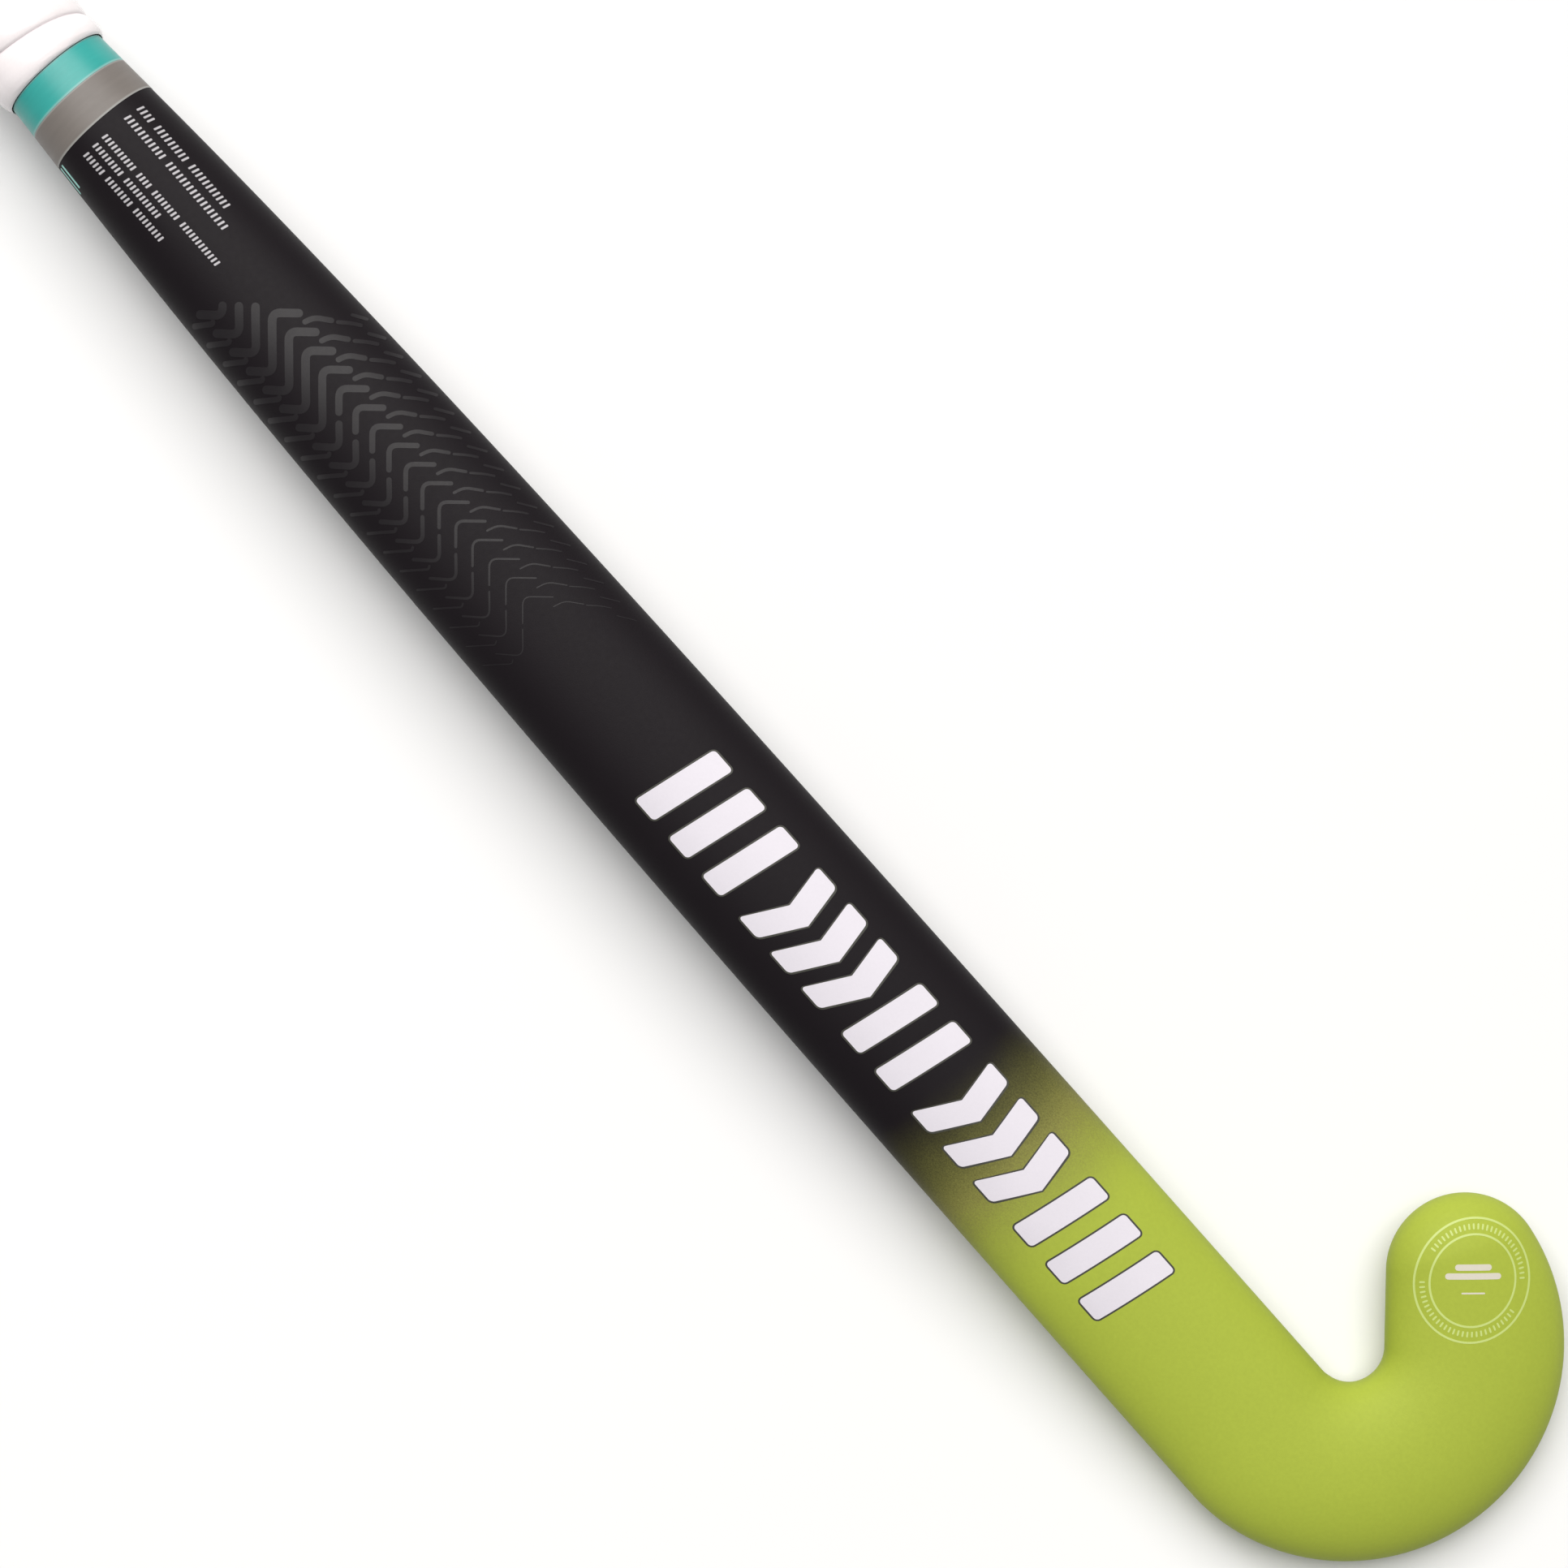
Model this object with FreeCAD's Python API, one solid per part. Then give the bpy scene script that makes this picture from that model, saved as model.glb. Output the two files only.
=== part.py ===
"""A field hockey stick, as the laid-up and moulded bar that it is.

Frame, in millimetres: the stick lies face down on a table, which it touches with the butt and with
the bottom of the head. +X runs from the butt to the head, +Y towards the toe side and +Z up, out of
the rounded back. The origin is on the table, under the middle of the stick's box.

Every moulded piece is the same bar with its surface moved inwards or outwards by an inset, so the
skin, its plies, the tubes, the cores and the grip all nest in each other.
"""
import FreeCAD
import Part

import functools
import math
import os

V = FreeCAD.Vector

# ---- the stick as a whole
LENGTH = 927.0               # butt cap to the bottom of the head, a 36.5 inch stick
HEAD_HALF_WIDTH = 24.6       # half the width of the lower shaft and of the head's band
HANDLE_HALF_WIDTH = 14.6     # half the width of the bare handle
TAPER_TOP_X = -86.0          # where the handle ends and the shaft starts to widen
TAPER_SOFTNESS = 6.0         # how gently it starts to widen
TAPER_LENGTH = 128.0         # in this length the missing width falls to about a third
HEAD_THICKNESS = 21.0        # face to back at the head
HANDLE_THICKNESS = 27.0      # face to back at the handle
THICKNESS_LENGTH = 170.0     # in this length the extra thickness falls to about a third
HEAD_FLAT = 18.0             # half the width of the flat face at the head
HANDLE_FLAT = 4.5            # half the width of the flat left on the handle
WIDEST_FLAT_SHARE = 0.9      # the flat takes up no more than this share of a section
FLAT_LOSS = 1 / 3            # the flat of an inset surface is narrower by this share of the inset
FLAT_LENGTH = 95.0           # in this length the flat widens by about two thirds
BACK_POWER = 2.15            # 2 is an elliptical back, more is squarer
EDGE_SHARE_HEAD = 0.42       # height of the widest line at the head, as a share of the thickness
EDGE_SHARE_HANDLE = 0.50     # and on the handle

# ---- the bow: how far the playing side stands off a table that the stick lies on
BOW = 22.0                   # height of the playing side at the top of the bow
BOW_TOP_X = 150.0            # the top of the bow
BOW_END_X = 372.0            # from here on the playing side is flat, down to the bottom of the head
BUTT_RISE = 2.1              # the bare handle's height at the butt: the grip fills it
FACE_SKIM = 0.05             # this much is faced off the head, so that its face is a true plane
FACE_OVERRUN = 0.45          # the faced plane runs this far into the rounding of the edge

# ---- the hook
OUTER_RADIUS = 58.6          # outside of the hook
TURN = math.radians(138.0)   # the band turns this far before the toe runs straight
NOSE_RADIUS = 21.3           # rounding of the toe
NOSE_END = math.radians(9.0)  # the last section stops this close to the toe's tip

# ---- wall thicknesses, as insets from the outer surface
SKIN = 1.6                   # outer laminate skin
GAP = 0.05                   # glue line between nested pieces
PLY = 0.5                    # reinforcing plies
TUBE = 1.2                   # wall of the two inner tubes and of their shared web

# ---- places along the stick
TUBE_TOP_X = -392.0          # inner tubes and foam start here
TUBE_END_X = 370.0           # and end here, at the head
PLUG_END_X = -431.0          # the butt plug ends here, and the soft insert starts
STRIP_HALF_SHARE = 0.5       # the fibre strips cover this share of the width

# ---- grip, tapes and butt
GRIP_END_X = -81.5           # the grip's lower end
UNDERLAY = 0.4               # thickness of the tape under the grip
GRIP = 1.6                   # thickness of the grip strip
UNDERLAY_SETBACK = 1.0       # the tape under the grip stops this far before the grip's end
GRIP_ROUNDING = 1.2          # rounding of the grip's lower end
TAPE = 0.2                   # thickness of the two bands of tape below the grip
FINISHING_TAPE_WIDTH = 9.2   # the band that closes the grip
BORDER_TAPE_WIDTH = 10.4     # the band below it
CAP_THICKNESS = 3.0
CAP_ROUNDING = 1.1           # rounding of the cap's rim
SPIGOT_RADIUS = 6.0          # the cap's spigot, which is pressed into the plug
SPIGOT_LENGTH = 18.0
SPIGOT_ROOT = 1.0            # the spigot starts this far inside the cap
SPIGOT_CLEARANCE = 0.05

# ---- points round a cross-section, and spacing of the cross-sections along the shaft
FACE_STEPS = 7
BACK_STEPS = 18
STRIP_STEPS = 5
CLOSEST_SECTIONS = 9.0       # distance between sections where the shape changes most
SECTION_GROWTH = 1.25        # each next distance is this many times as long
WIDEST_SECTIONS = 34.0       # up to this
HOOK_STEPS = 12              # sections round the hook, down the toe and across its nose
TOE_STEPS = 4
NOSE_STEPS = 7

# ---- the blocks that the bar is cut with
BLOCK_SIDE = 150.0           # they reach this far to either side
BLOCK_BOTTOM = -20.0
BLOCK_TOP = 80.0
OVERRUN = 2.0                # a cut runs this far past the piece
END_BAND = 0.5               # an edge this close to an end of a piece is on that end

# ---- worked out from the dimensions above
FACE_LOW_X = LENGTH / 2 - (HEAD_HALF_WIDTH - HEAD_FLAT) + FACE_OVERRUN
HEAD_SLOPE = BOW / (FACE_LOW_X - (BOW_TOP_X + BOW_END_X) / 2)
HANDLE_SLOPE = (BOW - BUTT_RISE) / ((BOW_TOP_X + TAPER_TOP_X) / 2 + LENGTH / 2)
PLY_AT = SKIN + GAP
TUBE_AT = PLY_AT + PLY + GAP
BUTT_X = -LENGTH / 2
SHELL_TOP_X = BUTT_X + CAP_THICKNESS
HOOK_X = LENGTH / 2 - OUTER_RADIUS
INNER_RADIUS = OUTER_RADIUS - 2 * HEAD_HALF_WIDTH
BAND_RADIUS = OUTER_RADIUS - HEAD_HALF_WIDTH
NOSE_OUT = INNER_RADIUS + NOSE_RADIUS
NOSE_ALONG = math.sqrt((OUTER_RADIUS - NOSE_RADIUS) ** 2 - NOSE_OUT ** 2)
NOSE_SIDE = math.atan2(NOSE_ALONG, NOSE_OUT)
NOSE_HALF_ARC = (math.pi - NOSE_SIDE) / 2
NOSE_REACH = (NOSE_OUT * -math.cos(TURN) + NOSE_ALONG * math.sin(TURN)) + NOSE_RADIUS
SHAFT_Y = -(BAND_RADIUS + NOSE_REACH - HEAD_HALF_WIDTH) / 2
HOOK_Y = SHAFT_Y + BAND_RADIUS


class Station:
    """One cross-section: its middle, the way across it, its half width and how it is cut.

    offset is 0 where the section runs through the ridge of the back, and nears 1 at the toe's tip.
    """

    def __init__(self, middle, across, half, offset=0.0):
        self.middle = middle
        self.across = across
        self.half = half
        self.offset = offset


def fade(x, length):
    """1 on the handle, falling towards 0 along the shaft."""
    run = TAPER_SOFTNESS * math.log(1 + math.exp((x - TAPER_TOP_X) / TAPER_SOFTNESS))
    return math.exp(-run / length)


def half_width(x):
    return HEAD_HALF_WIDTH - (HEAD_HALF_WIDTH - HANDLE_HALF_WIDTH) * fade(x, TAPER_LENGTH)


def thickness(x):
    return HEAD_THICKNESS + (HANDLE_THICKNESS - HEAD_THICKNESS) * fade(x, THICKNESS_LENGTH)


def flat(x):
    return HEAD_FLAT - (HEAD_FLAT - HANDLE_FLAT) * fade(x, FLAT_LENGTH)


def edge_share(x):
    return EDGE_SHARE_HEAD + (EDGE_SHARE_HANDLE - EDGE_SHARE_HEAD) * fade(x, FLAT_LENGTH)


def face_height(x):
    """Height of the playing side above the table: straight, bowed, then straight down the head."""
    if x >= BOW_END_X:
        return HEAD_SLOPE * (FACE_LOW_X - x) - FACE_SKIM
    if x > BOW_TOP_X:
        return BOW - FACE_SKIM - HEAD_SLOPE * (x - BOW_TOP_X) ** 2 / 2 / (BOW_END_X - BOW_TOP_X)
    run = min(BOW_TOP_X - x, BOW_TOP_X - TAPER_TOP_X)
    bowed = HANDLE_SLOPE * run ** 2 / 2 / (BOW_TOP_X - TAPER_TOP_X)
    return BOW - FACE_SKIM - bowed - HANDLE_SLOPE * (BOW_TOP_X - x - run)


def shaft_station(x, inset):
    return Station(V(x, SHAFT_Y, 0), V(0, -1, 0), half_width(x) - inset)


def hook_point(out, along):
    """A point of the toe, from the hook's centre: out across the toe and along it."""
    across = V(math.sin(TURN), -math.cos(TURN), 0)
    forward = V(math.cos(TURN), math.sin(TURN), 0)
    return V(HOOK_X, HOOK_Y, 0) + across * out + forward * along


def chord_station(inner, outer, offset):
    chord = outer - inner
    return Station((inner + outer) * 0.5, chord.normalize(), (outer - inner).Length / 2, offset)


def hook_stations(inset):
    """Sections round the hook, then down the toe, then across its nose."""
    stations = []
    for step in range(1, HOOK_STEPS + 1):
        angle = TURN * step / HOOK_STEPS
        across = V(math.sin(angle), -math.cos(angle), 0)
        middle = V(HOOK_X, HOOK_Y, 0) + across * BAND_RADIUS
        stations.append(Station(middle, across, HEAD_HALF_WIDTH - inset))
    for step in range(1, TOE_STEPS + 1):
        share = step / TOE_STEPS
        outer_radius = OUTER_RADIUS - inset
        inner = hook_point(INNER_RADIUS + inset, NOSE_ALONG * share)
        outer = hook_point(outer_radius * math.cos(NOSE_SIDE * share),
                           outer_radius * math.sin(NOSE_SIDE * share))
        stations.append(chord_station(inner, outer, math.cos(NOSE_HALF_ARC) * share))
    radius = NOSE_RADIUS - inset
    tip_angle = NOSE_SIDE + NOSE_HALF_ARC
    for step in range(1, NOSE_STEPS + 1):
        spread = NOSE_HALF_ARC + (NOSE_END - NOSE_HALF_ARC) * step / NOSE_STEPS
        inner, outer = (
            hook_point(NOSE_OUT + radius * math.cos(tip_angle + side * spread),
                       NOSE_ALONG + radius * math.sin(tip_angle + side * spread))
            for side in (1, -1))
        stations.append(chord_station(inner, outer, math.cos(spread)))
    return stations


def back_height(x, inset, from_ridge):
    """Height of the back over the face, where from_ridge is 0 at the ridge and 1 at the edge."""
    deep = thickness(x) - inset
    edge = edge_share(x) * thickness(x)
    return edge + (deep - edge) * max(0.0, 1 - from_ridge ** BACK_POWER) ** (1 / BACK_POWER)


def face_profile(x, half, inset, from_ridge):
    """Height of the playing side over its own plane: flat, then rounded up to the edge."""
    edge = edge_share(x) * thickness(x)
    flat_share = min((flat(x) - inset * FLAT_LOSS) / half, WIDEST_FLAT_SHARE)
    rounding = max(0.0, (from_ridge - flat_share) / (1 - flat_share))
    return inset + (edge - inset) * (1 - math.sqrt(max(0.0, 1 - rounding ** 2)))


def ridge_share(station, share):
    """How far a point of a section is from the ridge of the back: 0 on it and 1 at the edge."""
    return math.sqrt(station.offset ** 2 + (1 - station.offset ** 2) * share ** 2)


def section_point(station, inset, share, on_back):
    """A point of a section: share runs from -1 to 1 across it."""
    x = min(station.middle.x, HOOK_X)
    ridge = ridge_share(station, share)
    band = station.half if station.offset == 0 else HEAD_HALF_WIDTH - inset
    height = back_height(x, inset, ridge) if on_back else face_profile(x, band, inset, ridge)
    spot = station.middle + station.across * (station.half * share)
    return V(spot.x, spot.y, face_height(spot.x) + height)


def outline_points(station, inset):
    """Points round a section, starting in the middle of the playing side."""
    face_shares = [math.sin(math.pi / 2 * step / FACE_STEPS) for step in range(FACE_STEPS)]
    back_shares = [math.cos(math.pi * step / BACK_STEPS) for step in range(BACK_STEPS + 1)]
    points = [section_point(station, inset, share, False) for share in face_shares]
    points += [section_point(station, inset, share, True) for share in back_shares]
    points += [section_point(station, inset, -share, False) for share in face_shares[:0:-1]]
    return points


def spacing(points):
    """How far along each point lies, from 0: the same spacing in every section keeps a loft simple."""
    along = [0.0]
    for one, other in zip(points, points[1:]):
        along.append(along[-1] + (other - one).Length)
    return along


@functools.lru_cache
def outline_spacing():
    points = outline_points(shaft_station(HOOK_X, 0), 0)
    return spacing(points + points[:1])


def section_wire(station, inset):
    """The closed outline of a section."""
    outline = Part.BSplineCurve()
    outline.interpolate(Points=outline_points(station, inset), PeriodicFlag=True,
                        Parameters=outline_spacing())
    return Part.Wire([outline.toShape()])


def shaft_places():
    """Where the shaft's sections stand: closest together where the handle widens and at the hook."""
    places = {TAPER_TOP_X, HOOK_X}
    middle = (TAPER_TOP_X + HOOK_X) / 2
    for first, way, last in ((TAPER_TOP_X, -1, BUTT_X), (TAPER_TOP_X, 1, middle), (HOOK_X, -1, middle)):
        x, step = first, CLOSEST_SECTIONS
        while way * (last - x) > 0:
            x += way * step
            places.add(x)
            step = min(SECTION_GROWTH * step, WIDEST_SECTIONS)
    return sorted(places)


@functools.lru_cache
def whole_bar(inset, with_head):
    """The bar from past the butt to the hook, or round it to the toe."""
    stations = [shaft_station(x, inset) for x in shaft_places()]
    if with_head:
        stations += hook_stations(inset)
    return Part.makeLoft([section_wire(station, inset) for station in stations], True)


def bar(start, end=None, inset=0.0):
    """The stick's bar from start to end, or round the hook to the toe if end is left out."""
    stretch = block(start, LENGTH if end is None else end)
    return whole_bar(inset, end is None).common(stretch).Solids[0]


def block(x_from, x_to, y_from=-BLOCK_SIDE, y_to=BLOCK_SIDE, z_from=BLOCK_BOTTOM, z_to=BLOCK_TOP):
    return Part.makeBox(x_to - x_from, y_to - y_from, z_to - z_from, V(x_from, y_from, z_from))


def save(node, shape):
    shape.exportStep("parts/" + node + ".step")
    box = shape.BoundBox
    print("%-24s solids %d valid %s volume %9.1f  x %.2f %.2f y %.2f %.2f z %.3f %.2f" % (
        node, len(shape.Solids), shape.isValid(), shape.Volume,
        box.XMin, box.XMax, box.YMin, box.YMax, box.ZMin, box.ZMax))


def outer_shell():
    """The moulded skin: hollow, open at the butt, its playing face a true plane at the head."""
    skin = bar(SHELL_TOP_X).cut(bar(SHELL_TOP_X - OVERRUN, None, SKIN))
    table = block(BOW_END_X, LENGTH / 2 + OVERRUN, z_to=0)
    table.rotate(V(FACE_LOW_X, 0, 0), V(0, 1, 0), math.degrees(math.atan(HEAD_SLOPE)))
    return skin.cut(table)


def sleeve(start, end, outer, inner):
    """A layer round the bar, between two insets."""
    return bar(start, end, outer).cut(bar(start - OVERRUN, end + OVERRUN, inner))


def half_bar(side, start, end, inset, from_middle):
    """The part of the bar on one side of the stick's middle, +1 for the toe side."""
    near, far = sorted([SHAFT_Y + side * from_middle, SHAFT_Y + side * BLOCK_SIDE])
    return bar(start, end, inset).common(block(start - OVERRUN, end + OVERRUN, near, far))


def inner_tube(side):
    """One of the two tubes inside the shaft; their flat walls together are its middle web."""
    outer = half_bar(side, TUBE_TOP_X, TUBE_END_X, TUBE_AT, GAP / 2)
    hollow = half_bar(side, TUBE_TOP_X - OVERRUN, TUBE_END_X + OVERRUN, TUBE_AT + TUBE,
                      GAP / 2 + TUBE)
    return outer.cut(hollow)


def foam_core(side):
    return half_bar(side, TUBE_TOP_X, TUBE_END_X, TUBE_AT + TUBE + GAP, GAP / 2 + TUBE + GAP)


def strip_wire(station, on_back):
    """Outline of a stiffening strip across one section, under the skin."""
    shares = [STRIP_HALF_SHARE * step / STRIP_STEPS for step in range(-STRIP_STEPS, STRIP_STEPS + 1)]
    top = [section_point(station, PLY_AT, share, on_back) for share in shares]
    low = [section_point(station, PLY_AT + PLY, share, on_back) for share in reversed(shares)]
    edges = []
    for points in (top, low):
        line = Part.BSplineCurve()
        line.interpolate(Points=points, Parameters=list(range(len(points))))
        edges.append(line.toShape())
    first = Part.LineSegment(top[-1], low[0]).toShape()
    last = Part.LineSegment(low[-1], top[0]).toShape()
    return Part.Wire([edges[0], first, edges[1], last])


def stiffening_strip(on_back):
    """A long strip of straight fibres between the skin and the tubes."""
    wires = [strip_wire(shaft_station(x, PLY_AT), on_back) for x in shaft_places()]
    return Part.makeLoft(wires, True).common(block(TUBE_TOP_X, TUBE_END_X)).Solids[0]


def head_ply():
    """The tough ply that lines the head, between its skin and its core."""
    start = TUBE_END_X + GAP
    return bar(start, None, PLY_AT).cut(bar(start - OVERRUN, None, PLY_AT + PLY))


def head_core():
    return bar(TUBE_END_X + GAP, None, PLY_AT + PLY + GAP)


def vibration_insert():
    """The soft gel block that fills the handle between the foam and the butt plug."""
    return bar(PLUG_END_X + GAP, TUBE_TOP_X - GAP, PLY_AT)


def spigot_start():
    """The middle of the butt, where the spigot's axis starts."""
    middle = face_height(BUTT_X) + thickness(BUTT_X) / 2
    return V(BUTT_X, SHAFT_Y, middle)


def butt_plug():
    """The hard plug in the top of the handle, bored for the cap's spigot."""
    plug = bar(SHELL_TOP_X, PLUG_END_X, PLY_AT)
    bore = Part.makeCylinder(SPIGOT_RADIUS + SPIGOT_CLEARANCE, SPIGOT_LENGTH + OVERRUN,
                             spigot_start(), V(1, 0, 0))
    return plug.cut(bore)


def butt_cap():
    """The cap over the end of the handle, with the spigot that holds it in the plug."""
    disc = bar(BUTT_X, SHELL_TOP_X - GAP, -UNDERLAY - GRIP)
    rim = [edge for edge in disc.Edges if edge.BoundBox.XMax < BUTT_X + END_BAND]
    disc = disc.makeFillet(CAP_ROUNDING, rim)
    spigot = Part.makeCylinder(SPIGOT_RADIUS, SPIGOT_LENGTH, spigot_start() + V(SPIGOT_ROOT, 0, 0),
                               V(1, 0, 0))
    return disc.fuse(spigot).removeSplitter()


def grip_underlay():
    return sleeve(SHELL_TOP_X, GRIP_END_X - UNDERLAY_SETBACK, -UNDERLAY, -GAP)


def grip_wrap():
    """The grip as the closed sleeve that its wound strip fills, with a rounded lower end."""
    body = bar(SHELL_TOP_X, GRIP_END_X, -UNDERLAY - GRIP)
    rim = [edge for edge in body.Edges if edge.BoundBox.XMin > GRIP_END_X - END_BAND]
    body = body.makeFillet(GRIP_ROUNDING, rim)
    return body.cut(bar(SHELL_TOP_X - OVERRUN, GRIP_END_X + OVERRUN, -UNDERLAY - GAP))


def tape_band(start, width):
    return sleeve(start, start + width, -TAPE, -GAP / 2)


NODES = {
    "outer_shell": outer_shell,
    "toe_side_tube": lambda: inner_tube(1),
    "heel_side_tube": lambda: inner_tube(-1),
    "toe_side_foam_core": lambda: foam_core(1),
    "heel_side_foam_core": lambda: foam_core(-1),
    "back_fibre_strip": lambda: stiffening_strip(True),
    "face_fibre_strip": lambda: stiffening_strip(False),
    "head_reinforcing_ply": head_ply,
    "head_core": head_core,
    "vibration_insert": vibration_insert,
    "butt_plug": butt_plug,
    "butt_cap": butt_cap,
    "grip_underlay": grip_underlay,
    "grip_wrap": grip_wrap,
    "finishing_tape": lambda: tape_band(GRIP_END_X + GAP, FINISHING_TAPE_WIDTH),
    "border_tape": lambda: tape_band(GRIP_END_X + 2 * GAP + FINISHING_TAPE_WIDTH, BORDER_TAPE_WIDTH),
}


os.makedirs("parts", exist_ok=True)
for name, make in NODES.items():
    save(name, make())
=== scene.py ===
"""A field hockey stick's looks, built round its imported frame.

Frame, in metres: the stick lies on its playing side. +X runs from the butt to the head, +Y towards
the toe side and +Z up, out of the rounded back.
"""

import math

import bmesh
import bpy
from bpy.props import FloatProperty, FloatVectorProperty, IntProperty, PointerProperty
from bpy.types import Operator, Panel, PropertyGroup
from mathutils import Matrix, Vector


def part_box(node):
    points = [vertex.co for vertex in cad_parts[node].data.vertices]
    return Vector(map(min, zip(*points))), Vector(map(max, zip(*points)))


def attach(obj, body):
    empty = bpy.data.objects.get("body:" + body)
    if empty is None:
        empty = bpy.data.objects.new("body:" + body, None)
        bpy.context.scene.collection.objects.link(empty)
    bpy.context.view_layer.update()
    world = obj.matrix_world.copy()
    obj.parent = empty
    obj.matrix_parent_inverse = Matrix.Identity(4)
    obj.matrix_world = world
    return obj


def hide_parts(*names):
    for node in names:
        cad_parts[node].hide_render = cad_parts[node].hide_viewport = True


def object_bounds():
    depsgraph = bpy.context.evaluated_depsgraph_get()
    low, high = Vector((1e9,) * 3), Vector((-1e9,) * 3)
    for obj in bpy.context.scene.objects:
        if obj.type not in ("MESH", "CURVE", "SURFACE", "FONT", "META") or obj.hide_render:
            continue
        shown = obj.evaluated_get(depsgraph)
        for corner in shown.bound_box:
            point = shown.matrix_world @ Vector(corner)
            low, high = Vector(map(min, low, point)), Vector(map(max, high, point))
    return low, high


bl_info = {
    "name": "Field Hockey Stick",
    "version": (1, 0, 0),
    "blender": (4, 5, 0),
    "location": "View3D > Sidebar > Stick",
    "description": "Builds the looks of a field hockey stick: shell, grip, tapes, prints and stage",
    "category": "Add Mesh",
}

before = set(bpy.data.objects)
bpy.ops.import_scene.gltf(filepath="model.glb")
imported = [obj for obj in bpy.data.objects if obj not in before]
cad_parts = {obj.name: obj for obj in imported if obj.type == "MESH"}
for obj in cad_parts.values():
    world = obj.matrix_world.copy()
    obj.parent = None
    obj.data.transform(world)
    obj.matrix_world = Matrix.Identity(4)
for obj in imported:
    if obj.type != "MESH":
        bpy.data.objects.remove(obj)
CAD_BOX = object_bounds()
MM = 0.001
MERGE = 1e-7              # points closer than this are one point
EXACT = 1e-5              # slack when faces and edges are picked by their place


# ---- settings ------------------------------------------------------------------------------

def length(name, default, description):
    return FloatProperty(name=name, default=default, description=description, unit="LENGTH",
                         precision=5)


def share(name, default, description):
    return FloatProperty(name=name, default=default, description=description, subtype="FACTOR",
                         min=0.0, max=1.0)


def angle(name, degrees, description):
    return FloatProperty(name=name, default=math.radians(degrees), description=description,
                         subtype="ANGLE")


def number(name, default, description):
    return FloatProperty(name=name, default=default, description=description)


def count(name, default, description):
    return IntProperty(name=name, default=default, description=description, min=1)


def colour(name, default, description):
    return FloatVectorProperty(name=name, default=default, description=description, subtype="COLOR",
                               size=3, min=0.0, max=1.0)


class StickBar(PropertyGroup):
    """The moulded bar: the same driving sizes as the design's."""
    head_half_width: length("Head half width", 0.0246, "Half the width of the lower shaft")
    handle_half_width: length("Handle half width", 0.0146, "Half the width of the bare handle")
    taper_top_x: length("Taper top", -0.086, "Where the shaft starts to widen")
    taper_softness: length("Taper softness", 0.006, "How gently it starts to widen")
    taper_length: length("Taper length", 0.128, "Length in which the missing width falls to a third")
    head_thickness: length("Head thickness", 0.021, "Face to back at the head")
    handle_thickness: length("Handle thickness", 0.027, "Face to back at the handle")
    thickness_length: length("Thickness length", 0.170, "Length in which it thins to a third")
    head_flat: length("Head flat", 0.018, "Half the width of the flat playing side")
    handle_flat: length("Handle flat", 0.0045, "Half the width of the flat left on the handle")
    flat_length: length("Flat length", 0.095, "Length in which the flat widens by two thirds")
    back_power: number("Back power", 2.15, "2 is an elliptical back and more is squarer")
    head_edge_share: share("Head edge", 0.42, "Height of the widest line at the head")
    handle_edge_share: share("Handle edge", 0.50, "Height of the widest line at the handle")
    bow: length("Bow", 0.022, "How far the bowed shaft stands off the table")
    bow_top_x: length("Bow top", 0.150, "Highest place of the bow")
    bow_end_x: length("Bow end", 0.372, "Where the bow runs out into the flat head")
    butt_rise: length("Butt rise", 0.0021, "Height of the bare handle at the butt")
    face_skim: length("Face skim", 0.00005, "Faced off the head, to make it flat")
    face_overrun: length("Face overrun", 0.00045, "How far the facing runs into the edge")
    outer_radius: length("Hook radius", 0.0586, "Outside of the hook")
    turn: angle("Hook turn", 138.0, "How far the hook turns before the toe")
    nose_radius: length("Nose radius", 0.0213, "Rounding of the toe")
    skin: length("Skin", 0.0016, "Thickness of the moulded skin")
    around: count("Points around", 80, "Points round a section of the shell")
    step: length("Step", 0.005, "Distance between sections down the shaft")
    fine_step: length("Fine step", 0.0025, "Distance between sections where the shaft starts to widen")


class StickGrip(PropertyGroup):
    """The wound grip, its tapes and the butt cap."""
    pitch: length("Pitch", 0.0135, "Distance from one turn of the grip to the next")
    first_groove_x: length("First groove", -0.0913, "Where the lowest groove crosses the ridge")
    underlay: length("Underlay", 0.0004, "Thickness of the cloth tape under the grip")
    glue: length("Glue", 0.00005, "Glue between the tape and the grip")
    thickness: length("Grip thickness", 0.0016, "Thickness of the grip strip")
    groove_share: share("Groove", 0.36, "Height left in the groove between two turns")
    crown: share("Crown", 0.22, "How much higher a turn is in its middle")
    shoulder_power: number("Shoulder", 4.5, "More makes the turns flatter and their edges tighter")
    end_rounding: length("End rounding", 0.0046, "Rounding of the lower end of the grip")
    lip: length("End lip", 0.0005, "Height of the grip's trimmed lower edge")
    tape: length("Tape", 0.0002, "Height of the tape bands over the paint")
    tape_overlap: share("Tape overlap", 0.12, "Part of a turn by which a tape overlaps itself")
    cap_rounding: length("Cap rounding", 0.0011, "Rounding of the butt cap's rim")


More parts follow.
